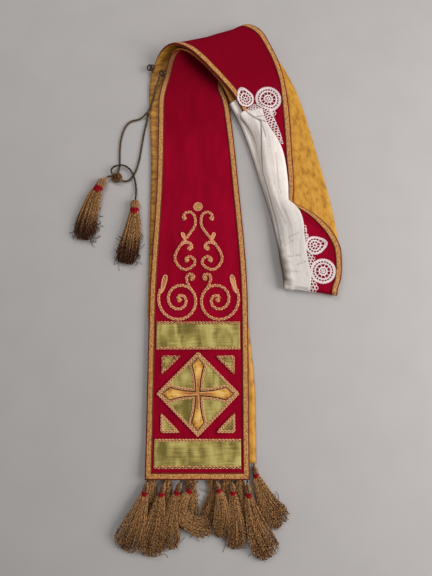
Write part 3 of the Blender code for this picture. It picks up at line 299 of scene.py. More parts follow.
# The tie cord and what is on it
CORD_DIAMETER = 3.3
PLY_SHARE = 0.27           # radius of one of its three plies, as a share of the diameter
KNOT = (-161.6, 182.3, 5.6)
CORD_TASSELS = {
    "cord_tassel_left": Tassel(-170.9, 184.5, -193.7, 155.3, -211.7, 76.7, 25),
    "cord_tassel_right": Tassel(-130.3, 144.0, -133.5, 92.0, -142.0, 37.5, 25),
}
CORD_TASSEL_STRINGS = {"cord_tassel_left": (13.0, 6.0), "cord_tassel_right": (1.5, 6.9)}   # length, height
LOOPS = {"cord_loop_back": (-112.6, 378.0, 10.0, 4.0), "cord_loop_front": (-91.2, 364.0, 14.6, 3.6)}
CORDS = {
    "cord_strand_front": (
        (-95.0, 358.9, 13.6), (-98.4, 351.0, 9.6), (-102.0, 341.7, 7.0), (-105.0, 327.5, 5.9),
        (-107.8, 316.0, 5.8), (-111.5, 305.0, 5.9), (-117.2, 295.5, 5.6), (-127.2, 288.0, 2.2),
        (-143.8, 282.6, 1.7), (-153.3, 269.9, 1.7), (-158.6, 248.3, 1.7), (-159.4, 224.0, 1.7),
        (-158.8, 208.0, 1.75), (-159.6, 199.0, 2.2), (-160.6, 191.4, 4.6)),
    "cord_strand_back": (
        (-114.6, 299.5, 1.9), (-116.6, 282.0, 1.7), (-120.3, 262.0, 1.7), (-123.6, 238.0, 1.7),
        (-127.2, 213.0, 1.7), (-132.4, 194.0, 1.7), (-140.0, 181.0, 1.8), (-147.3, 176.6, 2.6),
        (-152.6, 177.6, 4.0)),
    "cord_ring": (
        (-169.6, 188.2, 7.2), (-171.4, 194.0, 6.4), (-167.8, 199.6, 6.2), (-160.5, 202.6, 6.7),
        (-152.0, 203.0, 5.9), (-143.5, 198.6, 5.4), (-136.4, 189.5, 5.4), (-132.6, 178.0, 3.9),
        (-130.6, 166.0, 2.6), (-130.0, 155.0, 4.0), (-130.3, 144.4, 6.9)),
}

FrontView = namedtuple("FrontView", "x y z tilt lens sensor")
CAMERA = FrontView(-0.029, -0.1535, 0.694, 10.0, 28.0, 36.0)     # metres, degrees and millimetres
Lamp = namedtuple("Lamp", "name place size watts")
LAMPS = (Lamp("key", (1.15, -0.12, 0.85), 0.9, 18.4), Lamp("fill", (-0.4, 0.9, 1.2), 0.8, 6.6))
STUDIO_LIGHT = 0.31        # strength of the even light from all round


# ---------------- sizes and colours a user would change

def linear(code):
    """Linear colour of an sRGB hex value."""
    values = []
    for k in (0, 2, 4):
        value = int(code[k:k + 2], 16) / 255
        values.append(value / 12.92 if value <= 0.04045 else ((value + 0.055) / 1.055) ** 2.4)
    return (*values, 1.0)


def colour_setting(name, code, description):
    """A colour property whose default is an sRGB hex value."""
    return FloatVectorProperty(name=name, description=description, subtype="COLOR", size=4,
                               min=0.0, max=1.0, default=linear(code))


def length_setting(name, default, description):
    """A length property in metres."""
    return FloatProperty(name=name, description=description, default=default, min=0.0,
                         subtype="DISTANCE", unit="LENGTH", precision=5)


class StoleSizes(bpy.types.PropertyGroup):
    """Sizes of the stole's finer parts."""
    cloth_cell: length_setting("Cloth cell", 0.0032, "Size of the mesh cells of wool and lining")
    braid_crown: length_setting("Braid crown", 0.0004, "How far the braid stands up along its middle")
    pucker: length_setting("Pucker", 0.00055, "Height of the puckers in the applied silk")
    couching_radius: length_setting("Couching radius", 0.00105, "Radius of the couched gold cords")
    couching_pitch: length_setting("Couching pitch", 0.0098, "Distance between two couching stitches")
    lace_thread: length_setting("Lace thread", 0.00055, "Radius of the lace's cords")
    strand_radius: length_setting("Strand radius", 0.0006, "Radius of one tassel strand")
    hem_strands: IntProperty(name="Hem strands", description="Strands in a hem tassel",
                             default=96, min=20, max=250)
    cord_strands: IntProperty(name="Cord tassel strands", description="Strands in a cord tassel",
                              default=145, min=20, max=250)


class StoleColours(bpy.types.PropertyGroup):
    """Colours of the stole's materials."""
    wool: colour_setting("Wool", "9A0826", "Lit side of the wool's nap")
    wool_shade: colour_setting("Wool shade", "82041E", "Brushed side of the wool's nap")
    lining: colour_setting("Lining", "C68C2C", "Gold sateen")
    lining_shade: colour_setting("Lining shade", "9C6618", "Worn blotches in the sateen")
    braid: colour_setting("Braid", "B87C3E", "Gold braid")
    braid_light: colour_setting("Braid highlights", "D6A468", "Worn high threads of the braid")
    braid_shade: colour_setting("Braid shade", "7A4620", "Between the braid's plaits")
    # The braid line paints the dark side cords together with the painted shadow at the braid's edges
    braid_line: colour_setting("Braid line", "661E10", "Dark cord along the braid's sides")
    silk: colour_setting("Green silk", "A08F4A", "Applied green silk")
    silk_light: colour_setting("Green silk highlights", "BEAD66", "Where the green silk catches light")
    silk_shade: colour_setting("Green silk shade", "74642C", "Crushed streaks in the green silk")
    orphrey: colour_setting("Cross silk", "DA9E48", "Silk of the cross")
    orphrey_light: colour_setting("Cross silk highlights", "E8B868", "Where the cross's silk catches light")
    orphrey_shade: colour_setting("Cross silk shade", "A8682A", "Worn silk of the cross")
    couching: colour_setting("Couched cord", "E8AE7C", "Lit side of the couched gold cord")
    couching_shade: colour_setting("Couched cord shade", "743A1C", "Gaps in the couched gold cord")
    outline: colour_setting("Outline", "6A3418", "Brown silk under the couched cords")
    olive: colour_setting("Satin filling", "D09462", "Filled parts of the scrolls")
    linen: colour_setting("Linen", "F1E7E0", "White linen")
    # Stain colour of the linen, also used for painted shade along its folded edge and in its creases
    soil: colour_setting("Soil", "44301C", "Soil along the linen's edge and in its creases")
    lace: colour_setting("Lace", "F6E4E4", "White lace")
    tassel: colour_setting("Tassel", "C69460", "Lit side of the tassel strands")
    tassel_shade: colour_setting("Tassel shade", "3C1E10", "Tarnished ends of the strands")
    head: colour_setting("Tassel head", "A87C54", "Heads of the tassels")
    head_shade: colour_setting("Tassel head shade", "46291A", "Tarnished threads of the heads")
    binding: colour_setting("Binding", "8E0F1A", "Silk wound round the tassels' necks")
    cord: colour_setting("Tie cord", "584430", "Gold thread of the tie cord")
    cord_shade: colour_setting("Tie cord shade", "20160D", "Tarnish of the tie cord")
    floor: colour_setting("Floor", "B4AFAC", "Plain floor")


# ---------------- the ribbon as a smooth surface

SHARES = 80                # cells across the smooth surface
ROW_STEP = 3.0             # mm between its rows

# Soft folds that both layers of the ribbon share
Crease = namedtuple("Crease", "along across long wide height turn")
SOFT_FOLDS_A = [Crease(*row) for row in (
    (300, 40, 130, 16, 1.1, 3), (330, 92, 110, 14, 1.0, -4), (250, 120, 60, 12, 0.7, 6),
    (470, 60, 120, 15, 1.0, 2), (560, 100, 100, 13, 0.9, -3), (120, 12, 90, 10, 0.5, 0),
    (640, 45, 60, 12, 0.9, 6), (760, 110, 90, 14, -0.9, -4), (930, 100, 120, 15, -1.0, 3),
)]
SOFT_FOLDS_B = [Crease(*row) for row in (
    (1250, 110, 60, 14, 1.0, 8), (1520, 95, 90, 13, 1.1, -4), (1590, 120, 70, 12, 0.9, 5),
    (1740, 60, 110, 15, -1.0, 2), (1900, 90, 140, 16, -1.1, -2), (2150, 50, 150, 15, -1.0, 3),
    (2290, 110, 90, 14, -0.8, -3),
)]


def metres(points):
    """Layout millimetres to metres round the part's origin."""
    return (np.asarray(points, dtype=float) - (ORIGIN_X, ORIGIN_Y, 0.0)) * MM


def unit(vectors):
    """Vectors of length one."""
    return vectors / np.maximum(np.linalg.norm(vectors, axis=-1, keepdims=True), 1e-9)


def ring_angles(count):
    """Angles of the points of a closed ring."""
    return np.linspace(0.0, 2 * pi, count + 1)[:-1]


def turned(away, aside, degrees, x=0.0, y=0.0):
    """Places round x, y: away along a heading in degrees, and aside to its left."""
    turn = radians(degrees)
    return x + away * cos(turn) - aside * sin(turn), y + away * sin(turn) + aside * cos(turn)


def crease_height(creases, along, across):
    """Height that a list of soft folds adds at each place."""
    height = np.zeros(np.broadcast(along, across).shape)
    for crease in creases:
        down, aside = turned(along - crease.along, across - crease.across, -crease.turn)
        height += crease.height * np.exp(-(aside / crease.wide) ** 2 - (down / crease.long) ** 4)
    return height


def eased(stops, values, wanted):
    """Smooth curves through values at stops that never overshoot them."""
    values = np.asarray(values, dtype=float)
    shape = (-1,) + (1,) * (values.ndim - 1)
    gaps = np.diff(stops).reshape(shape)
    rises = np.diff(values, axis=0) / gaps
    slopes = np.zeros_like(values)
    slopes[0], slopes[-1] = rises[0], rises[-1]
    low, high = rises[:-1], rises[1:]
    alike = low * high > 0
    near, far = gaps[1:] + 2 * gaps[:-1], 2 * gaps[1:] + gaps[:-1]
    safe_low, safe_high = np.where(alike, low, 1.0), np.where(alike, high, 1.0)
    slopes[1:-1] = np.where(alike, (near + far) / (far / safe_low + near / safe_high), 0.0)
    k = np.clip(np.searchsorted(stops, wanted) - 1, 0, len(stops) - 2)
    gap = gaps[k]
    t = (np.asarray(wanted) - np.asarray(stops)[k]).reshape(shape) / gap
    return ((2 * t ** 3 - 3 * t ** 2 + 1) * values[k] + (t ** 3 - 2 * t ** 2 + t) * gap * slopes[k]
            + (3 * t ** 2 - 2 * t ** 3) * values[k + 1] + (t ** 3 - t ** 2) * gap * slopes[k + 1])


def back_fold(first_step, last_step):
    """Sections of the centre-back fold, a half turn from the lower layer to the upper one."""
    sections = []
    for step in range(first_step, last_step + 1):
        turn = pi * step / BACK_FOLD_STEPS
        heights = []
        reaches = []
        for low, high in zip(BACK_FOLD_UNDER, BACK_FOLD_OVER):
            radius = (high - low) / 2
            heights.append((low + high) / 2 - radius * cos(turn))
            reaches.append(radius * sin(turn))
        sections.append(Section(
            BACK_FOLD_INNER[0], BACK_FOLD_INNER[1] - reaches[0], heights[0],
            BACK_FOLD_OUTER[0], BACK_FOLD_OUTER[1] - reaches[1], heights[1]))
    return sections


def section_rows(section, shares):
    """Points of the seam plane at shares of the cloth's width."""
    inner = np.array((section.inner_x, section.inner_y, section.inner_z))
    outer = np.array((section.outer_x, section.outer_y, section.outer_z))
    knots = np.array(ROLL)
    chord, height, gain = eased(knots[:, 0], knots[:, 1:], shares).T
    amount = section.roll
    lift = (1 - (1 - amount) ** 3) * height + 4 * amount * (1 - amount) * gain
    along_chord = (1 - amount) * shares + amount * chord
    points = inner + along_chord[:, None] * (outer - inner)
    points[:, 2] += lift if amount else 0.0
    return points


class Ribbon:
    """One half of the ribbon as a smooth surface through its sections."""

    def __init__(self, sections, creases, start, before=0, after=0):
        shares = np.linspace(0.0, 1.0, SHARES + 1)
        rows = np.array([section_rows(section, shares) for section in sections])
        knots = np.array([knot.width for knot in ROLL])
        widths = np.array([np.linalg.norm(np.diff(section_rows(section, knots), axis=0), axis=1).sum()
                           for section in sections])
        gaps = np.linalg.norm(np.diff(rows[:, SHARES // 2], axis=0), axis=1)
        stops = np.concatenate([[0.0], np.cumsum(gaps)])
        stops += start - stops[before]
        self.stops = stops[before:len(stops) - after]
        self.first, self.last = self.stops[0], self.stops[-1]
        self.count = round((self.last - self.first) / ROW_STEP)
        fine = np.linspace(self.first, self.last, self.count + 1)
        points = eased(stops, rows, fine)
        self.widths = eased(stops, widths, fine)
        normals = self.face_normals(points)
        across = self.widths[:, None] * shares
        points = points + normals * crease_height(creases, fine[:, None], across)[..., None]
        self.points = points
        self.normals = self.face_normals(points)

    @staticmethod
    def face_normals(points):
        """Normals on the side of the wool."""
        return unit(np.cross(np.gradient(points, axis=1), np.gradient(points, axis=0)))

    def row_of(self, along):
        """Row below a distance along the ribbon, and how far it is past that row."""
        row = (np.asarray(along, dtype=float) - self.first) / (self.last - self.first) * self.count
        row = np.clip(row, 0.0, self.count - 1e-6)
        whole = row.astype(int)
        return whole, row - whole

    def width_at(self, along):
        """Width of the cloth at a distance along the ribbon."""
        i, a = self.row_of(along)
        return self.widths[i] * (1 - a) + self.widths[i + 1] * a

    def place(self, along, across, off):
        """Points over the surface; off is the height on the side of the wool."""
        along, across, off = np.broadcast_arrays(*(np.asarray(v, dtype=float) for v in (along, across, off)))
        i, a = self.row_of(along)
        column = np.clip(across / self.width_at(along) * SHARES, 0.0, SHARES - 1e-6)
        j = column.astype(int)
        b = column - j
        a, b = a[..., None], b[..., None]

        def sample(values):
            return ((values[i, j] * (1 - b) + values[i, j + 1] * b) * (1 - a)
                    + (values[i + 1, j] * (1 - b) + values[i + 1, j + 1] * b) * a)
        return sample(self.points) + unit(sample(self.normals)) * off[..., None]

    def edge(self, along):
        """Points on the inner edge, their normals and the way out of the cloth."""
        near = self.place(along, 0.0, 0.0)
        return near, unit(self.place(along, 0.0, 1.0) - near), unit(near - self.place(along, 2.0, 0.0))


_ribbons = {}


def ribbon(half):
    """Half A or half B of the ribbon, worked out once."""
    if not _ribbons:
        seam_step = BACK_FOLD_STEPS // 2
        sections = FRONT_PANEL + INNER_FOLD + NECK_UNDER + back_fold(0, seam_step + 1)
        _ribbons["a"] = Ribbon(sections, SOFT_FOLDS_A, 0.0, after=1)
        sections = back_fold(seam_step - 1, BACK_FOLD_STEPS) + NECK_OVER + OUTER_FOLD + BACK_PANEL
        _ribbons["b"] = Ribbon(sections, SOFT_FOLDS_B, _ribbons["a"].last, before=1)
    return _ribbons[half]


# ---------------- pieces

def finish_piece(name, mesh, material, nodes=(), wall=0.0):
    """Put a mesh in the scene as a named piece that rides with the stole."""
    mesh.materials.clear()
    mesh.materials.append(finish_of(material))
    mesh.shade_smooth()
    piece = bpy.data.objects.new(name, mesh)
    bpy.context.scene.collection.objects.link(piece)
    if wall:
        solidify = piece.modifiers.new("wall", "SOLIDIFY")
        solidify.thickness = wall * MM
        solidify.offset = -1.0
    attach(piece, "root")
    if nodes:
        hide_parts(*nodes)
    return piece


def grid_mesh(name, points, uv, marks=None):
    """A mesh grid of rows along the cloth and columns across it; marks are its attributes."""
    rows, columns = points.shape[:2]
    bm = bmesh.new()
    bmesh.ops.create_grid(bm, x_segments=columns - 1, y_segments=rows - 1, size=0.5)
    mesh = bpy.data.meshes.new(name)
    bm.to_mesh(mesh)
    bm.free()
    mesh.vertices.foreach_set("co", metres(points).ravel())
    corner_verts = np.empty(len(mesh.loops), dtype=np.int32)
    mesh.loops.foreach_get("vertex_index", corner_verts)
    layer = mesh.uv_layers.new(name="cloth")
    flat = np.stack([np.broadcast_to(v, (rows, columns)) for v in uv], axis=-1).reshape(-1, 2)
    layer.uv.foreach_set("vector", (flat[corner_verts] * MM).ravel())
    for key, values in (marks or {}).items():
        mark = mesh.attributes.new(key, "FLOAT", "POINT")
        mark.data.foreach_set("value", np.broadcast_to(values, (rows, columns)).astype(float).ravel())
    mesh.update()
    return mesh


def cloth_piece(name, points, uv, material, slot, node_name, wall):
    """Put a grid of cloth in the scene as a named piece with a wall."""
    return finish_piece(name, grid_mesh(name, points, uv), material, [node_name], wall)


def join_meshes(name, meshes, weld):
    """One mesh of several, with points that are closer than the weld merged."""
    bm = bmesh.new()
    for mesh in meshes:
        bm.from_mesh(mesh)
        bpy.data.meshes.remove(mesh)
    bmesh.ops.remove_doubles(bm, verts=bm.verts, dist=weld * MM)
    joined = bpy.data.meshes.new(name)
    bm.to_mesh(joined)
    bm.free()
    return joined


def cord_mesh(name, lines, sides=1):
    """Round threads as one mesh; a line is its points and radii in mm, and whether it closes."""
    curve = bpy.data.curves.new(name, "CURVE")
    curve.dimensions = "3D"
    curve.bevel_depth = MM
    curve.bevel_resolution = sides
    curve.use_fill_caps = True
    for points, radii, closed in lines:
        spline = curve.splines.new("POLY")
        spline.points.add(len(points) - 1)
        placed = np.concatenate([metres(points), np.ones((len(points), 1))], axis=1)
        spline.points.foreach_set("co", placed.ravel())
        spline.points.foreach_set("radius", np.broadcast_to(radii, len(points)).astype(float).copy())
        spline.use_cyclic_u = closed
    thing = bpy.data.objects.new(name, curve)
    bpy.context.scene.collection.objects.link(thing)
    mesh = bpy.data.meshes.new_from_object(thing.evaluated_get(bpy.context.evaluated_depsgraph_get()))
    bpy.data.objects.remove(thing, do_unlink=True)
    bpy.data.curves.remove(curve)
    return mesh


def threads_piece(name, lines, material, nodes=(), sides=0):
    """Put round threads in the scene as a named piece."""
    return finish_piece(name, cord_mesh(name, lines, sides), material, nodes)


def even_line(points, spacing, closed=False):
    """The same polyline with points at even spacing."""
    points = np.asarray(points, dtype=float)
    if closed:
        points = np.concatenate([points, points[:1]])
    gaps = np.linalg.norm(np.diff(points, axis=0), axis=1)
    reach = np.concatenate([[0.0], np.cumsum(gaps)])
    count = max(2, round(reach[-1] / spacing))
    wanted = np.linspace(0.0, reach[-1], count + 1)
    even = np.stack([np.interp(wanted, reach, points[:, k]) for k in range(points.shape[1])], axis=-1)
    return even[:-1] if closed else even


def headings(points, closed=False):
    """Direction of a line at each of its points."""
    if closed:
        return unit(np.roll(points, -1, axis=0) - np.roll(points, 1, axis=0))
    return unit(np.gradient(points, axis=0))


# ---------------- cloth, lining and braid

LINING_INSET = 0.4         # the lining is turned in this far from the cloth's edges
LINING_CELL = 1.5          # its mesh cells are this many times as large as the wool's
MITRE_REACH = 40.0         # the edge braids slant into the hem's over this length


def rows_along(half, cell):
    """Distances along a half at a cell's spacing, short of the centre back by half a seam."""
    ground = ribbon(half)
    start = ground.first + (SEAM_HALF if half == "b" else 0.0)
    end = ground.last - (SEAM_HALF if half == "a" else 0.0)
    return np.linspace(start, end, round((end - start) / cell) + 1)[:, None]


def cloth_rows(half, cell, off, inset=0.0):
    """Points and UVs of a whole half at one height."""
    ground = ribbon(half)
    along = rows_along(half, cell)
    shares = np.linspace(0.0, 1.0, round(ground.widths.mean() / cell) + 1)
    across = inset + (ground.width_at(along) - 2 * inset) * shares
    return ground.place(along, across, off), (along, across)


def hem_of(half):
    """Distance along the ribbon of a half's hem, and the way up from it."""
    return (ribbon(half).first, 1) if half == "a" else (ribbon(half).last, -1)


def braid_top(depth, crown):
    """Height of the braid's crowned top at a distance from its outer edge."""
    return GALLOON_TOP - crown * (2 * depth / GALLOON_WIDTH - 1) ** 2


def braid_edge(half, side, crown):
    """Points and UVs of the braid along the inner (side 1) or outer (side -1) edge."""
    ground = ribbon(half)
    hem, up = hem_of(half)
    depth = np.linspace(0.0, GALLOON_WIDTH, 9)[::side]
    along = rows_along(half, ROW_STEP)
    mitre = np.clip(1 - np.abs(along - hem) / MITRE_REACH, 0.0, 1.0)
    along = along + up * depth * mitre
    across = depth + 0 * along if side > 0 else ground.width_at(along) - depth
    return ground.place(along, across, braid_top(depth, crown)), (along, depth)


def braid_hem(half, crown):
    """Points and UVs of the braid across a hem, mitred into the edge braids."""
    ground = ribbon(half)
    hem, up = hem_of(half)
    depth = np.linspace(0.0, GALLOON_WIDTH, 9)[::up][:, None]
    near = depth + 1.4 * AIR
    across = near + (ground.width_at(hem) - 2 * near) * np.linspace(0.0, 1.0, 61)
    return ground.place(hem + up * depth, across, braid_top(depth, crown)), (across, depth)


# ---------------- applied silk, the cross and couching

COUCHING_STEP = 0.75       # mm between the points of a couched cord
COUCHING_WAVE = 1.25       # how far each cord of a couched pair waves to its side
COUCHING_INSET = 1.3       # the pair's distance inside a silk patch's edge
CROSS_COUCHING = 2.9       # and outside the cross's
STITCH_RADIUS = 0.24


def pucker(along, across):
    """Soft puckers of applied silk, as a share of their height; their wavelengths are in mm."""
    wide = np.sin(2 * pi * across / 14.5 + 1.6 * np.sin(along / 19.0) + 0.4 * np.sin(across / 9.0))
    fine = np.sin(2 * pi * across / 6.1 + 2.3 * np.sin(along / 11.0)) * np.sin(along / 7.0)
    return 0.5 + 0.34 * wide + 0.16 * fine


def silk_mesh(name, stations, columns, rows, height):
    """Applied silk over a patch of the panel; stations turns shares of its sides into places."""
    ground = ribbon("a")
    q, p = np.meshgrid(np.linspace(0, 1, rows + 1), np.linspace(0, 1, columns + 1), indexing="ij")
    along, across = stations(p, q)
    rim = np.minimum.reduce([p * columns, (1 - p) * columns, q * rows, (1 - q) * rows]) / 2.5
    off = APPLIQUE_TOP + height * np.clip(rim, 0.0, 1.0) * pucker(along, across)
    return grid_mesh(name, ground.place(along, across, off), (along, across))


def panel_middle():
    """Distance across to the middle of the front panel at the diamond."""
    return float(ribbon("a").width_at(DIAMOND_ALONG)) / 2


def corner_places():
    """The four corner triangles: their right angle and the way they open."""
    middle = panel_middle()
    return [(DIAMOND_ALONG + up * CORNER_ALONG, middle + side * CORNER_ACROSS, up, side)
            for up in (-1, 1) for side in (-1, 1)]


def arm_half_width(reach):
    """Half the width of a cross arm at a distance from its middle: a concave flare, then a point."""
    knots = np.array([(CROSS_NECK / 2, CROSS_NECK / 2), (CROSS_ARM * 0.4, 4.1), (CROSS_ARM * 0.62, 6.2),
                      (CROSS_ARM * 0.78, CROSS_FLARE / 2), (CROSS_ARM * 0.8, CROSS_FLARE / 2 - 0.4),
                      (CROSS_ARM, 0.0)])
    return np.interp(reach, knots[:, 0], knots[:, 1])


def cross_meshes():
    """The middle and the four arms of the cross, each with a crowned top."""
    ground = ribbon("a")
    middle = panel_middle()
    across_shares = np.linspace(-1.0, 1.0, 9)
    meshes = []
    for quarter in range(4):
        reach = np.linspace(CROSS_NECK / 2, CROSS_ARM, 41)[:, None]
        side = arm_half_width(reach) * across_shares
        along, across = turned(reach, side, quarter * 90, DIAMOND_ALONG, middle)
        off = CROSS_TOP + 0.5 * (1 - across_shares ** 2) + 0 * reach
        meshes.append(grid_mesh("arm", ground.place(along, across, off), (reach, side)))
    square = np.linspace(-CROSS_NECK / 2, CROSS_NECK / 2, 9)
    off = CROSS_TOP + 0.5 * (1 - across_shares ** 2) * (1 - across_shares[:, None] ** 2)
    meshes.append(grid_mesh("square", ground.place(DIAMOND_ALONG + square[:, None], middle + square, off),
                            (square[:, None], square)))
    return meshes


def cross_outline(grow):
    """Closed outline of the cross in (along, across), grown outwards by a distance."""
    middle = panel_middle()
    reach = np.concatenate([np.linspace(CROSS_NECK / 2 + grow, CROSS_ARM * 0.79, 16), [CROSS_ARM + grow]])
    half_width = arm_half_width(reach) + grow
    half_width[-1] = 0.0
    arm = list(zip(reach, -half_width)) + list(zip(reach[-2::-1], half_width[-2::-1]))
    return [turned(far, side, quarter * 90, DIAMOND_ALONG, middle)
            for quarter in range(4) for far, side in arm]


def cross_stitching():
    """Dark sewn lines down the narrow necks of the cross."""
    seam = even_line(((1.0, 0.0), (CROSS_ARM * 0.46 - 2.0, 0.0)), 1.2)
    return [ribbon("a").place(*turned(seam[:, 0], seam[:, 1], quarter * 90, DIAMOND_ALONG, panel_middle()),
                              CROSS_TOP + 0.5) for quarter in range(4)]


def silk_outlines(inset):
    """Outlines of all the green silk patches in (along, across), drawn in by a distance."""
    ground = ribbon("a")
    outlines = []
    for low, high in GREEN_BANDS.values():
        for along in (low + inset, high - inset):
            width = float(ground.width_at(along))
            outlines.append(([(along, BAND_MARGIN), (along, width - BAND_MARGIN)], False))
    middle = panel_middle()
    half = DIAMOND_HALF - inset * 1.4
    outlines.append(([turned(half, 0.0, k * 90, DIAMOND_ALONG, middle) for k in range(4)], True))
    for along, across, up, side in corner_places():
        outlines.append(([(along - up * inset, across - side * inset),
                          (along - up * (CORNER_LEG - 2.4 * inset), across - side * inset),
                          (along - up * inset, across - side * (CORNER_LEG - 2.4 * inset))], True))
    return outlines


def couched(outline, closed, off, radius, pitch, wave, start=0.0, pinch=0.38):
    """A cord couched to the front panel, in (along, across): it waves and its stitches pull it in."""
    line = even_line(outline, COUCHING_STEP, closed)
    heading = headings(line, closed)
    phase = start + np.arange(len(line)) * COUCHING_STEP / pitch * 2 * pi
    line = line + np.stack([-heading[:, 1], heading[:, 0]], axis=-1) * (wave * np.sin(phase))[:, None]
    radii = radius * (1 - pinch * (1 - np.abs(np.sin(phase))))
    return ribbon("a").place(line[:, 0], line[:, 1], off + radii * 0.7), radii, closed


# ---------------- scroll embroidery

def arc_chain(x, y, heading, arcs):
    """Points along a chain of arcs, each a length in mm and a turn in degrees (left is positive)."""
    points = [np.array((x, y))]
    heading = radians(heading)
    for length, turn in arcs:
        count = max(2, round(length / 1.2))
        for _ in range(count):
            heading += radians(turn) / count / 2
            points.append(points[-1] + np.array((cos(heading), sin(heading))) * length / count)
            heading += radians(turn) / count / 2
    return np.array(points)


def spiral_line(centre_x, centre_y, start_angle, turns, outer_radius, inner_radius):
    """Points of a spiral that winds inwards to the left."""
    part = np.linspace(0.0, 1.0, 161)
    angle = radians(start_angle) + part * turns * 2 * pi
    radius = outer_radius - (outer_radius - inner_radius) * part
    return np.stack([centre_x + radius * np.cos(angle), centre_y + radius * np.sin(angle)], axis=-1)


def on_scrolls(points, mirror):
    """Places in (along, across) of points given from the dot at the top of the scrolls."""
    along = SCROLL_ALONG + SCROLL_TALL * points[:, 1]
    return np.stack([along, ribbon("a").width_at(along) / 2 + mirror * points[:, 0]], axis=-1)


def mound(bm, x, y, long, wide, heading, mirror, height):
    """Add a padded oval of satin stitch to a mesh, placed from the scrolls' dot."""
    verts = bmesh.ops.create_icosphere(bm, subdivisions=3, radius=1.0)["verts"]
    unit_points = np.array([vertex.co for vertex in verts])
    away = unit_points[:, 0] * long / 2
    # A leaf's shape: the oval is drawn in towards its far end
    aside = unit_points[:, 1] * wide / 2 * (1 - 0.35 * unit_points[:, 0])
    spot = on_scrolls(np.stack(turned(away, aside, heading, x, y), axis=-1), mirror)
    off = GALLOON_LOW + np.maximum(unit_points[:, 2], -0.2) * height
    for vertex, point in zip(verts, metres(ribbon("a").place(spot[:, 0], spot[:, 1], off))):
        vertex.co = point


def leaf_outline(bud):
    """Plan line round a leaf, from one side of its base over its tip to the other."""
    t = np.linspace(0.0, pi, 21)
    away = bud.length * np.sin(t) ** 0.8
    aside = bud.width * 0.5 * np.sin(2 * t) * (1 - 0.3 * np.sin(t))
    return np.stack(turned(away, aside, bud.heading, bud.x, bud.y), axis=-1)


# ---------------- linen and lace

# Folds that the linen has of its own: puffs, and narrow troughs between them
LINEN_PUFFS = [Crease(*row) for row in (
    (1235, 14, 60, 9, 1.3, 4), (1235, 38, 50, 8, 1.2, -6), (1300, 22, 60, 8, 1.2, 5),
    (1310, 46, 40, 7, 1.0, -5), (1370, 30, 50, 9, 1.4, 8), (1410, 12, 50, 8, 1.2, -6),
    (1425, 40, 40, 8, 1.3, 4), (1470, 26, 34, 9, 1.2, -8), (1090, 16, 50, 9, 0.9, -5),
    (1110, 40, 40, 8, 0.8, 6), (1000, 24, 60, 9, 0.8, 3),
)]
LINEN_TROUGHS = [Crease(*row) for row in (
    (1400, 24, 46, 1.3, 1.5, 9), (1440, 36, 30, 1.2, 1.4, -16), (1370, 40, 40, 1.2, 1.2, 5),
    (1330, 16, 44, 1.3, 1.1, -3), (1475, 16, 24, 1.2, 1.3, 24), (1270, 30, 40, 1.4, 0.9, 2),
    (1205, 24, 20, 1.4, 0.8, 65), (1228, 34, 16, 1.3, 0.7, 78), (1180, 30, 22, 1.3, 0.7, 55),
)]


def linen_share(along):
    """Share of the width that the linen covers on the side of the wool."""
    near = (92.0 - np.abs(along - ribbon("a").last)) / 66.0
    hollow = LINEN_HOLLOW * np.exp(-((along - 1474) / 34) ** 2)
    return LINEN_REACH + LINEN_REACH_GAIN * np.clip(near, 0.0, 1.0) - hollow


# Sharp creases pressed into the linen: where each starts and ends, how wide and how strong it is
Pressed = namedtuple("Pressed", "along across end_along end_across wide strength")
PRESSED = [Pressed(*row) for row in (
    (1512, 2.0, 1481, 15.6, 0.8, 1.0), (1481, 15.6, 1469, 12.5, 0.8, 1.0), (1469, 12.5, 1443, 8.0, 0.8, 1.0),
    (1443, 8.0, 1392, 1.5, 0.8, 1.0), (1493, 9.0, 1489, 22.0, 0.8, 0.7), (1505, 10.0, 1508, 20.0, 0.8, 0.6),
    (1488, 13.0, 1478, 20.0, 0.8, 0.8), (1478, 20.0, 1474, 26.0, 0.8, 0.7),
    (1474, 15.0, 1452, 15.5, 0.8, 0.5), (1268, 15.0, 1275, 27.0, 0.9, 0.4), (1234, 4.0, 1239, 31.0, 0.9, 0.4),
    (1223, 22.0, 1230, 39.0, 0.8, 0.4), (1190, 0.0, 1188, 15.0, 1.0, 0.45),
    (1188, 15.0, 1187, 34.0, 1.0, 0.45), (1214, 8.0, 1212, 24.0, 0.8, 0.3), (1392, 1.5, 1359, 3.6, 0.8, 0.8),
    (1359, 3.6, 1296, 3.2, 0.8, 0.75), (1296, 3.2, 1250, 2.2, 0.8, 0.6), (1420, 26.0, 1350, 20.0, 1.0, 0.25),
    (1345, 10.0, 1292, 14.0, 1.0, 0.3), (1252, 8.0, 1263, 22.0, 0.8, 0.3),
)]
LINEN_CORNER = 19.0        # how much further the linen's top end reaches at the inner edge
LINEN_SLACK = 6.0          # how far its fold stands off that edge there
LINEN_LIMP = 0.36          # share of their height that its own soft folds keep
FINE_LINEN = 1385.0        # its mesh is finer past here


def linen_rise(along, across):
    """Height of the linen's own folds over the cloth that it lies on."""
    rise = crease_height(LINEN_PUFFS, along, across) - crease_height(LINEN_TROUGHS, along, across)
    return LINEN_LIMP * np.maximum(rise, 0.0)


def pressed_in(along, across):
    """Strength of the sharp creases at each place."""
    strength = np.zeros(np.broadcast(along, across).shape)
    for crease in PRESSED:
        down, aside = crease.end_along - crease.along, crease.end_across - crease.across
        part = ((along - crease.along) * down + (across - crease.across) * aside) / (down ** 2 + aside ** 2)
        part = np.clip(part, 0.0, 1.0)
        gap = np.hypot(along - crease.along - part * down, across - crease.across - part * aside)
        strength = np.maximum(strength, crease.strength * np.exp(-(gap / crease.wide) ** 2))
    return strength


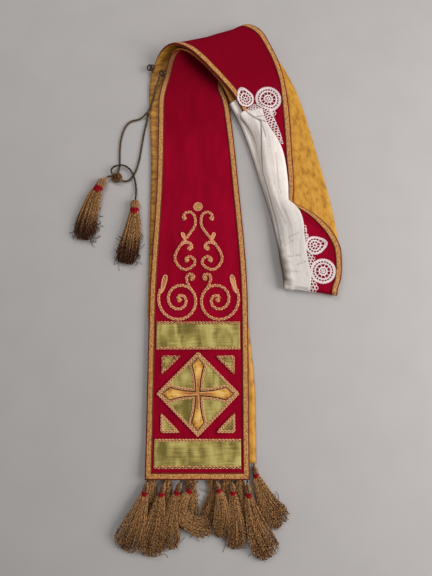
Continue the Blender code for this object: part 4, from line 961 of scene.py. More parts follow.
def soiled(along, across):
    """Strength of the stain along the linen's folded edge at the centre back, and of painted shade along the
    whole folded edge.
    """
    ends = np.clip((along - 1184) / 12, 0.0, 1.0) * np.clip((1290 - along) / 50, 0.0, 1.0)
    ragged = 1 + 0.35 * np.sin(along / 3.7) * np.sin(along / 8.3 + 1.0)
    depth = (5.0 + 6.0 * np.clip((1270 - along) / 80, 0.0, 1.0)) * ragged
    stain = ends * np.exp(-(np.maximum(across, 0.0) / depth) ** 2)
    # Painted shade: a dark line along the whole folded edge
    return np.maximum(stain, 0.9 * np.exp(-((across + 0.4) / 0.9) ** 2))


def linen_ends():
    """Distances along the ribbon at which the linen starts and ends."""
    return ribbon("a").stops[-LINEN_SECTIONS_A], ribbon("b").stops[LINEN_SECTIONS_B - 1]


def linen_rows(half, start, end):
    """Rows of the linen's outer skin from the lining side round the inner edge to the wool side."""
    ground = ribbon(half)
    steps = np.arange(start, end, 0.1)
    # Rows stand closer where the sharp creases are
    weight = np.cumsum(np.where(steps > FINE_LINEN, 1 / 1.1, 1 / 2.3))
    along = np.interp(np.linspace(weight[0], weight[-1], round((weight[-1] - weight[0]) / 10)), weight, steps)
    along = np.array([start, *along[1:-1], end])[:, None]
    width = ground.width_at(along)
    corner = LINEN_CORNER * np.clip((along - end + 60) / 60, 0.0, 1.0) ** 2 * (half == "b")
    loose = LINEN_SLACK * np.exp(-((along - end) / 18) ** 2) * (half == "b")
    skin = LINEN_THICKNESS
    bottom = LINING_BOTTOM - LINEN_AIR - skin
    under = LINEN_LINING_SHARE * width * np.linspace(1.0, 0.0, 10)
    over = linen_share(along) * width * np.linspace(0.0, 1.0, 50)
    settle = np.clip((over - GALLOON_WIDTH) / 5.0, 0.0, 1.0)
    top = GALLOON_TOP + AIR + 0.4 - settle * (GALLOON_TOP - FACE_TOP + 0.1) + skin
    ease = np.clip(over / 6.0, 0.0, 1.0) * np.clip((linen_share(along) * width - over) / 3.0, 0.15, 1.0)
    creased = pressed_in(along, over)
    top = top + ease * linen_rise(along, over) - 0.7 * creased
    lining_side = ground.place(along + corner, under, bottom)
    wool_side = ground.place(along + corner * np.clip(1 - over / 27, 0.0, 1.0), over, top)
    near, normal, out = ground.edge(along + corner)
    wraps = []
    for turn in (-65, -35, 0, 35, 65):
        level = (top[:, :1] + bottom) / 2 + (top[:, :1] - bottom) / 2 * sin(radians(turn))
        reach = (LINEN_WRAP + skin + loose[..., None]) * cos(radians(turn)) ** 0.7
        wraps.append(near + normal * level[..., None] + out * reach)
    points = np.concatenate([lining_side, *wraps, wool_side], axis=1)
    points[..., 2] = np.maximum(points[..., 2], 0.05)
    wrapped = np.tile(np.linspace(-1.0, 1.0, 5), (len(along), 1))
    across = np.concatenate([-under - 1, wrapped, over + 1], axis=1)
    return points, along, across, np.where(across > 1, pressed_in(along, across - 1), 0.0)


def linen_mesh():
    """The protector strip over both halves, as one surface."""
    start, end = linen_ends()
    halves = zip(linen_rows("a", start, ribbon("a").last), linen_rows("b", ribbon("b").first, end))
    points, along, across, creased = (np.concatenate([a[:-1], b]) for a, b in halves)
    return grid_mesh("linen", points, (along, across), {"creased": creased, "soiled": soiled(along, across)})


def arc_points(x, y, radius, start, end, spacing=1.0):
    """Points of an arc in plan, its angles in degrees."""
    count = max(6, round(radius * radians(abs(end - start)) / spacing))
    angle = np.radians(np.linspace(start, end, count + 1))
    return np.stack([x + radius * np.cos(angle), y + radius * np.sin(angle)], axis=-1)


# Wheels of the lace: middle and radius in plan, how far the rim runs to a point and where, rings of holes
Wheel = namedtuple("Wheel", "x y radius point heading rings")
BIG_RINGS = ((0.70, 0.88, 4.4), (0.35, 0.63, 5.9), (0.13, 0.29, 4.6))     # inside, outside, hole spacing
SMALL_RINGS = ((0.60, 0.87, 4.5), (0.21, 0.54, 4.8))
LACE_WHEELS = {
    "lace_upper": (Wheel(87.0, 317.0, 20.5, 0.0, 0, BIG_RINGS),
                   Wheel(49.0, 315.5, 13.0, 0.45, 115, SMALL_RINGS)),
    "lace_lower": (Wheel(166.0, 24.0, 18.6, 0.0, 0, BIG_RINGS),
                   Wheel(154.5, 65.0, 13.8, 0.4, 14, SMALL_RINGS)),
}
# Net between the linen and the wheels: distance along the ribbon, and its depth from the linen's edge
LACE_NETS = {
    "lace_upper": ((1432, 1.0), (1446, 22.0), (1464, 38.0), (1507, 38.0), (1508, 50.0), (1526, 50.0)),
    "lace_lower": ((1185, 13.0), (1222, 12.0), (1238, 13.0), (1262, 12.0), (1290, 1.0)),
}
NET_PITCH = 5.2
NET_RING = 2.4             # radius of one ring of the net


def wheel_lace(wheel):
    """Plan lines of one wheel: a solid rim with picots, then rings of holes between bars round a hub."""
    def ring(share, gain=0.0, spacing=1.0):
        turn = np.linspace(0.0, 360.0, max(8, round(2 * pi * wheel.radius * share / spacing)) + 1)
        away = (turn - wheel.heading + 180) % 360 - 180
        reach = wheel.radius * share * (1 + wheel.point * share * np.exp(-(away / 30) ** 2)) + gain
        turn = np.radians(turn)
        return np.stack([wheel.x + reach * np.cos(turn), wheel.y + reach * np.sin(turn)], axis=-1)

    solid = wheel.rings[0][1]
    lines = [(ring(share), 1.0) for share in np.linspace(solid, 1.0, round((1 - solid) * wheel.radius) + 1)]
    for inside, outside, spacing in wheel.rings:
        lines += [(ring(inside), 1.3), (ring(outside), 1.2)]
        lines.append((ring(max(inside - 0.05, 0.03)), 1.0))
        count = round(pi * wheel.radius * (inside + outside) / spacing)
        low, high = (ring(share, spacing=2 * pi * wheel.radius * share / count)
                     for share in (inside, outside))
        lines += [(even_line((near, far), 1.0), 1.2) for near, far in zip(low[:-1], high[:-1])]
    rim = even_line(ring(1.0, 0.3), 2.7)
    lines += [(arc_points(x, y, 0.75, 0, 360, 0.8), 1.0) for x, y in rim]
    return lines


def net_rings(name):
    """Middles in (along, across) of the rings of the lace's net."""
    ground = ribbon("b")
    stops, depths = np.array(LACE_NETS[name]).T
    rings = []
    for i, along in enumerate(np.arange(stops[0], stops[-1], NET_PITCH * 0.87)):
        width = float(ground.width_at(along))
        past = along > linen_ends()[1]
        edge = 1.0 if past else float(linen_share(along)) * width + 1.2
        depth = float(np.interp(along, stops, depths))
        for j in range(round(depth / NET_PITCH)):
            rings.append((along, edge + (j + 0.5 * (i % 2)) * NET_PITCH))
    return rings


# ---------------- tassels

def tassel_line(tassel, heights):
    """Middle line of a tassel: a function from shares of its length to points and sideways directions."""
    root, middle, end = (np.array(pair) for pair in zip(tassel[0:6:2], tassel[1:6:2]))
    control = 2 * middle - (root + end) / 2
    t = np.linspace(0.0, 1.0, 49)[:, None]
    plan = root * (1 - t) ** 2 + control * 2 * t * (1 - t) + end * t ** 2
    slope = unit((control - root) * (1 - t) + (end - control) * t)
    reach = np.concatenate([[0.0], np.cumsum(np.linalg.norm(np.diff(plan, axis=0), axis=1))])
    reach /= reach[-1]
    stops, levels = zip(*heights)

    def at(part):
        spots = [np.interp(part, reach, plan[:, k]) for k in (0, 1)]
        sides = [np.interp(part, reach, slope[:, 1]), -np.interp(part, reach, slope[:, 0])]
        height = np.interp(part, stops, levels)
        return np.stack([*spots, height], axis=-1), np.stack([*sides, 0 * height], axis=-1)
    return at


FLUFF = 1.5                # the loose strands spread this much more than the locks of the model


def tassel_strands(rng, tassel, size, at, count, radius):
    """Lines of a tassel's skirt: crimped strands that fan out, wander and tuck in at a rounded end."""
    total = size.total
    start = size.neck + size.binding * 0.3
    cap_radius = size.head_radius * 0.8
    wide = tassel.spread * FLUFF / (2 * cap_radius)
    locks = max(5, count // 22)
    lock_side = [-1 + 2 * (k + 0.5) / locks + rng.uniform(-0.1, 0.1) for k in range(locks)]
    lock_wave = [(rng.uniform(0, 2 * pi), rng.uniform(0.6, 1.4)) for _ in range(locks)]
    lines = []
    t = np.linspace(0.0, 1.0, 29)
    for k in range(count):
        lock = k % locks
        side = max(-1.0, min(1.0, lock_side[lock] + rng.gauss(0, 1.5 / locks)))
        up = rng.uniform(-1.0, 1.0) * max(0.15, 1 - side * side) ** 0.5
        reach = 1.02 - 0.13 * side ** 4 - 0.14 * rng.random() ** 2
        part = (start + t * (total - start) * reach) / total
        point, across = at(np.minimum(part, 1.0))
        down = np.clip((part * total - start) / size.skirt, 0, 1.1)
        spread = 1 + (wide - 1) * down ** 0.75 * (1 - 0.18 * np.clip(down - 0.7, 0, 1) / 0.3)
        phase, beat = lock_wave[lock]
        wander = 1.5 * t * np.sin(beat * 5 * t + phase) + 0.9 * t * np.sin(rng.uniform(7, 15) * t + k)
        # Crimp at about 5 mm, as in thread that was plied and let go
        crimp, phased = rng.uniform(70, 92), rng.uniform(0, 2 * pi)
        grown = np.clip(t * 6.0, 0, 1)
        aside = side * cap_radius * spread + wander + 0.95 * grown * np.sin(crimp * t + phased)
        puffed = 1 + 0.5 * np.sin(pi * np.clip(t, 0, 1) ** 0.8)
        rise = up * cap_radius * size.flatness * puffed * (1 - 0.5 * t)
        rise = rise + 0.7 * grown * np.cos(crimp * t + phased)
        line = point + across * aside[:, None]
        line[:, 2] = np.maximum(line[:, 2] + rise, radius + 0.1)
        lines.append((line, radius * (1 - 0.25 * t), False))
    return lines


def stray_threads(rng, tassel, size, at, count):
    """Thin curled threads that have come loose from a skirt and lie round it."""
    lines = []
    for _ in range(count):
        part = rng.uniform(0.5, 1.0)
        point, across = at(np.array([part]))
        side = rng.choice((-1, 1)) * rng.uniform(0.5, 1.0)
        down = max(0.0, part * size.total - size.neck) / size.skirt
        spot = (point + across * side * tassel.spread * 0.5 * min(1.0, down + 0.2))[0]
        heading = atan2(across[0][1] * side, across[0][0] * side) + rng.uniform(-0.8, 0.8)
        bend, drift = rng.uniform(-0.35, 0.35), rng.uniform(-0.05, 0.05)
        line = []
        for step in range(rng.randrange(7, 15)):
            line.append((spot[0], spot[1], max(0.5, spot[2] - 0.8 * step)))
            heading += bend
            bend += drift + rng.uniform(-0.12, 0.12)
            spot = spot + np.array((cos(heading), sin(heading), 0.0)) * 1.5
        lines.append((np.array(line), STRAY_RADIUS, False))
    return lines


def tassel_head(size, at):
    """Lines of a tassel's head: threads that run down over its bulb to the neck."""
    string, long = size.string, size.head_long
    stops = np.array((string * 0.5, string, string + 0.18 * long, string + 0.5 * long,
                      size.neck - 1.0, size.neck + size.binding * 0.6))
    bulb = np.array((0.15, 0.35, 0.84, 1.0, 0.84, 0.72)) * (size.head_radius - HEAD_THREAD)
    reach = np.linspace(stops[0], stops[-1], 13)
    bulge = eased(stops, bulb, reach)
    point, across = at(reach / size.total)
    lines = [(point, bulge * 0.8, False)]
    count = round(2 * pi * size.head_radius / (1.7 * HEAD_THREAD))
    for k in range(count):
        turn = 2 * pi * k / count + 0.5 * (reach - stops[0]) / long
        line = point + across * (bulge * np.cos(turn))[:, None]
        line[:, 2] += bulge * np.sin(turn) * size.flatness
        lines.append((line, HEAD_THREAD, False))
    return lines


def tassel_binding(size, at):
    """Line of the thread wound round a tassel's neck."""
    windings = round((size.binding + 0.6) / WINDING_PITCH)
    turn = np.linspace(0.0, 2 * pi * windings, 14 * windings)
    reach = size.neck - 0.3 + WINDING_PITCH * turn / (2 * pi)
    point, across = at(reach / size.total)
    radius = size.head_radius * 0.9
    line = point + across * (radius * np.cos(turn))[:, None]
    line[:, 2] += radius * np.sin(turn) * size.flatness
    return [(line, WINDING_RADIUS, False)]


def tassel_rows():
    """Every tassel: its name, row, sizes and heights along its middle line."""
    lying = TASSEL_AIR + HEM_TASSEL.head_radius * HEM_TASSEL.flatness
    front_heights = ((0.0, 9.6), (0.12, lying + FRONT_TASSEL_LIFT), (0.72, lying + FRONT_TASSEL_LIFT),
                     (1.01, lying + 1.5))
    back_heights = ((0.0, 2.4), (0.1, lying), (1.01, lying))
    rows = [(f"tassel_front_{k}", row, HEM_TASSEL, front_heights) for k, row in enumerate(FRONT_TASSELS, 1)]
    rows += [(f"tassel_back_{k}", row, HEM_TASSEL, back_heights) for k, row in enumerate(BACK_TASSELS, 1)]
    lying = TASSEL_AIR + CORD_TASSEL.head_radius * CORD_TASSEL.flatness
    for name, row in CORD_TASSELS.items():
        string, height = CORD_TASSEL_STRINGS[name]
        rows.append((name, row, CORD_TASSEL._replace(string=string),
                     ((0.0, height), (0.1, lying), (1.01, lying))))
    return rows


# ---------------- tie cord

def smooth_route(points, spacing):
    """Points at even spacing along a smooth curve through a route."""
    points = np.asarray(points, dtype=float)
    padded = np.concatenate([points[:1], points, points[-1:]])
    t = np.linspace(0.0, 1.0, 12, endpoint=False)[:, None]
    fine = []
    for before, low, high, after in zip(padded, padded[1:], padded[2:], padded[3:]):
        fine.append(0.5 * (2 * low + (high - before) * t
                           + (2 * before - 5 * low + 4 * high - after) * t ** 2
                           + (3 * low - before - 3 * high + after) * t ** 3))
    return even_line(np.concatenate([*fine, points[-1:]]), spacing)


def rope_lines(route, diameter, pitch=9.0, closed=False):
    """Lines of the three plies that twist round a route."""
    spacing = np.linalg.norm(np.diff(route, axis=0), axis=1).mean()
    along = headings(route, closed)
    side = unit(np.cross(along, (0.0, 0.0, 1.0)))
    up = np.cross(side, along)
    turns = 2 * pi * np.arange(len(route)) * spacing / pitch
    if closed:
        turns *= round(turns[-1] / (2 * pi)) * 2 * pi / (turns[-1] + turns[1])
    ply = diameter * PLY_SHARE
    lines = []
    for k in range(3):
        turn = turns + 2 * pi * k / 3
        offset = side * np.cos(turn)[:, None] + up * np.sin(turn)[:, None]
        lines.append((route + offset * (diameter / 2 - ply), ply, closed))
    return lines


# Loops of the knot: middle, half sizes, then how each leans and where it heads, in degrees
KnotLoop = namedtuple("KnotLoop", "middle long wide lean heading")
KNOT_LOOPS = [KnotLoop(*row) for row in (
    ((-0.6, 0.2, 0.0), 7.6, 6.4, 14, 8), ((1.6, -0.6, 1.0), 5.6, 6.2, -22, 60),
    ((-1.8, -1.2, -0.2), 5.6, 5.6, 38, -50), ((0.4, 0.6, 1.2), 3.8, 4.6, -50, 100),
    ((0.6, -3.4, -0.6), 6.0, 4.0, 10, 14), ((0.2, 0.2, 0.8), 2.4, 2.2, 20, 0),
)]


def knot_lines():
    """Lines of the cord's turns in the knot."""
    lines = []
    t = ring_angles(48)
    for loop in KNOT_LOOPS:
        x, y = loop.long * np.cos(t), loop.wide * np.sin(t)
        plan = turned(x, y * cos(radians(loop.lean)), loop.heading)
        route = np.stack([*plan, y * sin(radians(loop.lean)) * 0.7], axis=-1)
        lines += rope_lines(route + np.array(loop.middle) + np.array(KNOT), CORD_DIAMETER, closed=True)
    return lines


# Turns of a sewn loop: how far each is moved, its share of the radius and how it leans
LoopTurn = namedtuple("LoopTurn", "right up high share lean")
LOOP_TURNS = [LoopTurn(*row) for row in (
    (0.0, 0.0, 0.0, 1.0, 10), (4.4, 0.6, 0.7, 0.8, -40), (2.6, -3.4, 0.4, 0.5, 20),
)]


def loop_lines(x, y, z, radius):
    """Lines of a few turns of cord sewn to the ribbon's edge."""
    t = ring_angles(48)
    lines = []
    for turn in LOOP_TURNS:
        reach = turn.share * radius
        plan = turned(reach * np.cos(t), 1.25 * reach * np.sin(t), turn.lean, x + turn.right, y + turn.up)
        route = np.stack([*plan, z + turn.high + 0.5 * np.sin(2 * t)], axis=-1)
        lines += rope_lines(route, CORD_DIAMETER * 0.85, pitch=7.0, closed=True)
    return lines


# ---------------- finishes

def fill(tree, target, inputs):
    """Set a node's inputs: each is a value, a node or a (node, output) pair."""
    for key, value in inputs.items():
        if isinstance(value, bpy.types.Node):
            tree.links.new(value.outputs[0], target.inputs[key])
        elif isinstance(value, tuple) and isinstance(value[0], bpy.types.Node):
            tree.links.new(value[0].outputs[value[1]], target.inputs[key])
        else:
            target.inputs[key].default_value = value


def add_node(tree, kind, inputs=None, stops=None, **settings):
    """Add a shader node with its settings, inputs and colour stops.

    A colour mix takes its two colours at inputs 6 and 7 and gives the result at output 2.
    """
    added = tree.nodes.new("ShaderNode" + kind)
    for key, value in settings.items():
        setattr(added, key, value)
    fill(tree, added, inputs or {})
    if stops:
        ramp = added.color_ramp
        while len(ramp.elements) < len(stops):
            ramp.elements.new(0.5)
        for element, (position, colour) in zip(ramp.elements, stops):
            element.position = position
            element.color = colour
    return added


def per_mm(millimetres):
    """Scale of a noise whose features are this many millimetres."""
    return 1 / (millimetres * MM)


def bands(millimetres):
    """Scale of a wave whose bands repeat after this many millimetres."""
    return pi / (10 * millimetres * MM)


def grey(value):
    """A grey level as a colour."""
    return (value, value, value, 1.0)


def new_finish(name, roughness, gloss=0.5):
    """A material, what adds a node to it, and what fills its shader's inputs."""
    material = bpy.data.materials.new(name)
    material.use_nodes = True
    tree = material.node_tree
    surface = partial(fill, tree, tree.nodes["Principled BSDF"])
    surface({"Roughness": roughness, "Specular IOR Level": gloss})
    return material, partial(add_node, tree), surface


RAMP_LENGTH = 3.0          # metres of the ribbon's length that a ramp covers, from 0 to 1


def stretches(add, parts, *spans):
    """Where along the ribbon a finish differs, as spans of (start, full, fading, end, strength)."""
    length = add("Math", {0: (parts, 0), 1: RAMP_LENGTH}, operation="DIVIDE")
    stops = []
    for start, full, fading, end, strength in spans:
        stops += [(start, grey(0.0)), (full, grey(strength)), (fading, grey(strength)), (end, grey(0.0))]
    return add("ValToRGB", {"Fac": length}, stops=stops)


def wool_finish(colours):
    """Fulled wool cloth: a soft nap that catches light at its folds, over a fine twill."""
    material, add, surface = new_finish("fulled_crimson_wool", 0.9, 0.02)
    uv = add("UVMap", uv_map="cloth")
    drift = add("Mapping", {"Vector": uv, "Scale": (0.3, 1.0, 1.0)})
    nap = add("TexNoise", {"Vector": drift, "Scale": per_mm(22), "Detail": 4.0, "Roughness": 0.6})
    tone = add("ValToRGB", {"Fac": nap}, stops=((0.3, colours.wool_shade), (0.7, colours.wool)))
    # Painted shade: the cloth is darker towards the neck end, at the top
    place = add("TexCoord")
    sides = add("SeparateXYZ", {"Vector": (place, "Object")})
    wear_and_shade = add("MapRange", {"Value": (sides, 1), "From Min": 0.2, "From Max": 0.34, "To Max": 0.8})
    painted_shade_mix = add("Mix", {"Factor": wear_and_shade, 6: tone, 7: linear("740318")}, data_type="RGBA")
    # Twill at 1.1 mm, coarser than the real 0.6 mm so that it still shows
    twill = add("TexWave", {"Vector": uv, "Scale": bands(1.1), "Distortion": 1.5,
                            "Detail Scale": 2.0}, bands_direction="DIAGONAL")
    fuzz = add("TexNoise", {"Vector": uv, "Scale": per_mm(0.9), "Detail": 3.0})
    fine = add("Bump", {"Height": twill, "Strength": 0.25, "Distance": 0.0002})
    rough = add("Bump", {"Height": fuzz, "Strength": 0.3, "Distance": 0.0003, "Normal": fine})
    surface({"Base Color": (painted_shade_mix, 2), "Normal": rough})
    return material


def sateen_finish(colours):
    """Cotton sateen lining: mottled gold with long floats that give it a low sheen."""
    material, add, surface = new_finish("gold_cotton_sateen", 0.55, 0.3)
    uv = add("UVMap", uv_map="cloth")
    askew = add("Mapping", {"Vector": uv, "Rotation": (0.0, 0.0, 0.35), "Scale": (0.5, 1.0, 1.0)})
    blotch = add("TexNoise", {"Vector": askew, "Scale": per_mm(7), "Detail": 4.0,
                              "Roughness": 0.55, "Distortion": 0.3})
    tone = add("ValToRGB", {"Fac": blotch},
               stops=((0.3, colours.lining_shade), (0.5, colours.lining), (0.7, linear("D39C3E"))))
    # Painted shade: the lining's strip at the left is darker brown, with painted shade in crumpled creases
    # across it
    place = add("TexCoord")
    sides = add("SeparateXYZ", {"Vector": (place, "Object")})
    left_strip_shade = add("MapRange", {"Value": (sides, 0), "From Min": -0.09, "From Max": -0.05,
                               "To Min": 1.0, "To Max": 0.0})
    across = add("Mapping", {"Vector": uv, "Scale": (1.0, 0.4, 1.0)})
    crumple = add("TexNoise", {"Vector": across, "Scale": per_mm(7), "Detail": 4.0, "Roughness": 0.65})
    painted_crease_shade = add("ValToRGB", {"Fac": crumple},
                  stops=((0.36, linear("7E4A16")), (0.5, linear("AA7226")), (0.62, linear("BE8A34"))))
    painted_shade_mix = add("Mix", {"Factor": left_strip_shade, 6: tone, 7: painted_crease_shade}, data_type="RGBA")
    # Painted shade along the inner edge where the neck folds
    parts = add("SeparateXYZ", {"Vector": uv})
    folded = stretches(add, parts, (0.235, 0.245, 0.277, 0.285, 0.75), (0.503, 0.512, 0.555, 0.567, 0.75))
    near = add("MapRange", {"Value": (parts, 1), "From Min": 0.011, "From Max": 0.017,
                            "To Min": 1.0, "To Max": 0.0})
    painted_shade_mask = add("Math", {0: folded, 1: near}, operation="MULTIPLY")
    painted_shade_tone = add("Mix", {"Factor": painted_shade_mask, 6: (painted_shade_mix, 2), 7: linear("7C4816")}, data_type="RGBA")
    floats = add("TexWave", {"Vector": uv, "Scale": bands(1.2), "Distortion": 2.0}, bands_direction="X")
    cockle = add("TexNoise", {"Vector": uv, "Scale": per_mm(7)})
    fine = add("Bump", {"Height": floats, "Strength": 0.2, "Distance": 0.0002})
    soft = add("Bump", {"Height": cockle, "Strength": 0.5, "Distance": 0.0012, "Normal": fine})
    surface({"Base Color": (painted_shade_tone, 2), "Normal": soft})
    return material


def braid_finish(colours):
    """Woven metal-thread galloon: herringbone plaits with wear, between two dark side cords with painted edge
    shadow.
    """
    material, add, surface = new_finish("woven_gold_galloon", 0.55, 0.2)
    uv = add("UVMap", uv_map="cloth")
    parts = add("SeparateXYZ", {"Vector": uv})
    # The plait folds at the middle of the 10 mm braid, so the distance from it slants the bands
    from_middle = add("Math", {0: (parts, 1), 1: GALLOON_WIDTH / 2 * MM}, operation="SUBTRACT")
    fold = add("Math", {0: from_middle}, operation="ABSOLUTE")
    slant = add("Math", {0: fold, 1: 0.8, 2: (parts, 0)}, operation="MULTIPLY_ADD")
    slanted = add("CombineXYZ", {"X": slant, "Y": (parts, 1)})
    # Plaits at 3.4 mm, coarser than the real ones, so that they still show
    plait = add("TexWave", {"Vector": slanted, "Scale": bands(3.4), "Distortion": 4.0,
                            "Detail Scale": 2.0}, bands_direction="X")
    drawn = add("Mapping", {"Vector": uv, "Scale": (0.5, 1.3, 1.0)})
    wear_and_shade = add("TexNoise", {"Vector": drawn, "Scale": per_mm(2.2), "Detail": 3.0, "Roughness": 0.7})
    mixed = add("Math", {0: plait, 1: 0.14, 2: wear_and_shade}, operation="MULTIPLY_ADD")
    gold = add("ValToRGB", {"Fac": mixed},
               stops=((0.42, colours.braid_shade), (0.55, colours.braid), (0.74, colours.braid_light)))
    # Dark cord along both sides, drawn wide so that it also paints the shadow at the braid's edges
    side = add("MapRange", {"Value": fold, "From Min": (GALLOON_WIDTH / 2 - 2.1) * MM,
                            "From Max": (GALLOON_WIDTH / 2 - 1.6) * MM})
    # Painted shade inside the fold at the neck
    folded = stretches(add, parts, (0.207, 0.218, 0.267, 0.283, 0.75), (0.56, 0.58, 0.6, 0.62, 0.6))
    painted_shade_mix = add("Mix", {"Factor": folded, 6: gold, 7: linear("563014")}, data_type="RGBA")
    toned = add("Mix", {"Factor": side, 6: (painted_shade_mix, 2), 7: colours.braid_line}, data_type="RGBA")
    raised = add("Bump", {"Height": mixed, "Strength": 0.7, "Distance": 0.0006})
    surface({"Base Color": (toned, 2), "Normal": raised})
    return material


def silk_finish(colours, name, tone, streak_mm, roughness, neck=None):
    """Corded silk: irregular ribs across, crushed streaks along, and necks on the cross that show wear."""
    shade, middle, light = (getattr(colours, tone + ending) for ending in ("_shade", "", "_light"))
    material, add, surface = new_finish(name, roughness, 0.25)
    uv = add("UVMap", uv_map="cloth")
    drawn = add("Mapping", {"Vector": uv, "Scale": (0.42, 1.0, 1.0)})
    streak = add("TexNoise", {"Vector": drawn, "Scale": per_mm(streak_mm), "Detail": 3.0,
                              "Roughness": 0.45, "Distortion": 0.3})
    # Ribs drawn at 2 mm, coarser than the real cord of 0.8 mm so that they still show
    ribs = add("Mapping", {"Vector": uv, "Scale": (1.0, 0.07, 1.0)})
    rib = add("TexNoise", {"Vector": ribs, "Scale": per_mm(2.0), "Detail": 1.0})
    ribbed = add("Math", {0: rib, 1: 0.3, 2: streak}, operation="MULTIPLY_ADD")
    toned = add("ValToRGB", {"Fac": ribbed}, stops=((0.5, shade), (0.65, middle), (0.78, light)))
    colour = (toned, 0)
    if neck:
        parts = add("SeparateXYZ", {"Vector": uv})
        out = add("MapRange", {"Value": (parts, 0), "From Min": 0.35 * CROSS_ARM * MM,
                               "From Max": 0.48 * CROSS_ARM * MM})
        thread = add("ValToRGB", {"Fac": streak}, stops=((0.34, shade), (0.56, linear(neck))))
        mixed = add("Mix", {"Factor": out, 6: thread, 7: toned}, data_type="RGBA")
        colour = (mixed, 2)
    raised = add("Bump", {"Height": rib, "Strength": 0.4, "Distance": 0.0004})
    soft = add("Bump", {"Height": streak, "Strength": 0.6, "Distance": 0.0015, "Normal": raised})
    surface({"Base Color": colour, "Normal": soft})
    return material


def linen_finish(colours):
    """Plain-woven linen, laundered: slubs both ways, painted shade in its creases, and a stain with painted
    shade along its folded edge.
    """
    material, add, surface = new_finish("laundered_white_linen", 0.9, 0.15)
    uv = add("UVMap", uv_map="cloth")
    tint = add("TexNoise", {"Vector": uv, "Scale": per_mm(26), "Detail": 5.0})
    white = add("ValToRGB", {"Fac": tint}, stops=((0.3, linear("E6DAD0")), (0.7, colours.linen)))
    # Painted shade: its stretch by the centre back is greyer
    parts = add("SeparateXYZ", {"Vector": uv})
    painted_shade_span = stretches(add, parts, (0.366, 0.394, 0.424, 0.462, 1.0))
    tone = add("Mix", {"Factor": painted_shade_span, 6: white, 7: linear("D2CAC3")}, data_type="RGBA")
    # Two drawn threads of faded pink run along it, 4 mm apart
    patchy = add("TexNoise", {"Vector": uv, "Scale": per_mm(12)})
    for across, strength in ((21.0, 0.75), (25.0, 0.45)):
        drawn = add("Math", {0: (parts, 1), 1: across * MM, 2: 0.5 * MM}, operation="COMPARE")
        share = add("Math", {0: drawn, 1: strength}, operation="MULTIPLY")
        broken = add("Math", {0: share, 1: patchy}, operation="MULTIPLY")
        tone = add("Mix", {"Factor": broken, 6: (tone, 2), 7: linear("C98F96")}, data_type="RGBA")
    # Painted shade in the pressed creases; a real stain and painted shade along the folded edge
    for mark, strength in (("creased", 0.9), ("soiled", 0.92)):
        found = add("Attribute", attribute_name=mark)
        share = add("Math", {0: (found, "Fac"), 1: strength}, operation="MULTIPLY")
        tone = add("Mix", {"Factor": share, 6: (tone, 2), 7: colours.soil}, data_type="RGBA")
    # Weave drawn at 1.5 mm, coarser than the real 0.5 mm so that it still shows
    warp, weft = (add("TexWave", {"Vector": uv, "Scale": bands(1.5), "Distortion": 2.5},
                      bands_direction=way) for way in "XY")
    woven = add("Math", {0: warp, 1: weft}, operation="ADD")
    crush = add("TexNoise", {"Vector": uv, "Scale": per_mm(8), "Detail": 4.0})
    raised = add("Bump", {"Height": woven, "Strength": 0.25, "Distance": 0.0002})
    soft = add("Bump", {"Height": crush, "Strength": 0.6, "Distance": 0.0016, "Normal": raised})
    surface({"Base Color": (tone, 2), "Normal": soft})
    return material


def floor_finish(colours):
    """Matt painted table: even, with a faint mottle."""
    material, add, surface = new_finish("matt_painted_table", 0.9)
    place = add("TexCoord")
    mottle = add("TexNoise", {"Vector": (place, "Object"), "Scale": per_mm(60)})
    pale = tuple(value * 0.96 for value in colours.floor[:3]) + (1.0,)
    tone = add("ValToRGB", {"Fac": mottle}, stops=((0.3, pale), (0.7, colours.floor)))
    surface({"Base Color": tone})
    return material


# Twisted threads: the material, its lit and shaded colour as a setting's name or a hex value, its
# speckle in mm, roughness and gloss; then the balance of the two colours, how much the end darkens,
# how far one thread differs from the next, and how softly the colours meet
Thread = namedtuple("Thread", "name light shade speckle roughness gloss balance darker_end apart blur",
                    defaults=(0.62, 0.0, 0.3, 0.13))
THREADS = {
    # Gilt cord sewn down: bright where its plies turn up, dark in its gaps
    "couching": Thread("couched_gilt_cord", "couching", "couching_shade", 2.2, 0.6, 0.1, 0.55),
    "scrollwork": Thread("couched_rose_gilt_cord", "EFB084", "A65C3A", 1.8, 0.65, 0.08, 0.56),
    # Silk laid under it and along the edges: dull, in flat tones
    "scroll_ground": Thread("madder_brown_silk", "9A4E30", "6E2A1C", 2.0, 0.8, 0.05),
    "outline": Thread("brown_outline_silk", "outline", "3A1A0C", 2.0, 0.8, 0.05),
    "edging": Thread("dark_brown_silk_edging", "48200C", "240E04", 3.0, 0.85, 0.02),
    # Satin stitch, with the low sheen of silk floss
    "olive": Thread("gold_satin_stitch", "olive", "946032", 2.0, 0.6, 0.12, 0.56),
    # Cotton thread: matt and nearly white
    "lace": Thread("cotton_lace_thread", "lace", "DCCBC8", 1.5, 0.9, 0.1),
    # Gilt thread of the tassels: spotted by tarnish, darker at its ends
    "strands": Thread("tarnished_gilt_strands", "tassel", "tassel_shade", 1.7, 0.7, 0.1,
                      0.55, 0.07, 0.12, 0.12),
    "frayed": Thread("frayed_gilt_strands", "tassel", "tassel_shade", 1.7, 0.7, 0.1,
                     0.56, 0.24, 0.12, 0.12),
    "stray": Thread("stray_gilt_threads", "5A4534", "tassel_shade", 3.0, 0.8, 0.05),
    "heads": Thread("gilt_thread_heads", "head", "head_shade", 2.2, 0.55, 0.15, 0.6),
    # Silk wound tight: deep and even
    "binding": Thread("crimson_silk_winding", "binding", "5C060C", 2.2, 0.7, 0.05),
    # Gilt cord that much handling has turned brown
    "cord": Thread("gilt_tie_cord", "cord", "cord_shade", 2.5, 0.6, 0.12),
    "knot": Thread("gilt_knot_cord", "7E5838", "2C1A10", 2.5, 0.6, 0.12, 0.6),
    "loops": Thread("tarnished_cord_loops", "54402E", "1C130C", 2.5, 0.7, 0.1),
}


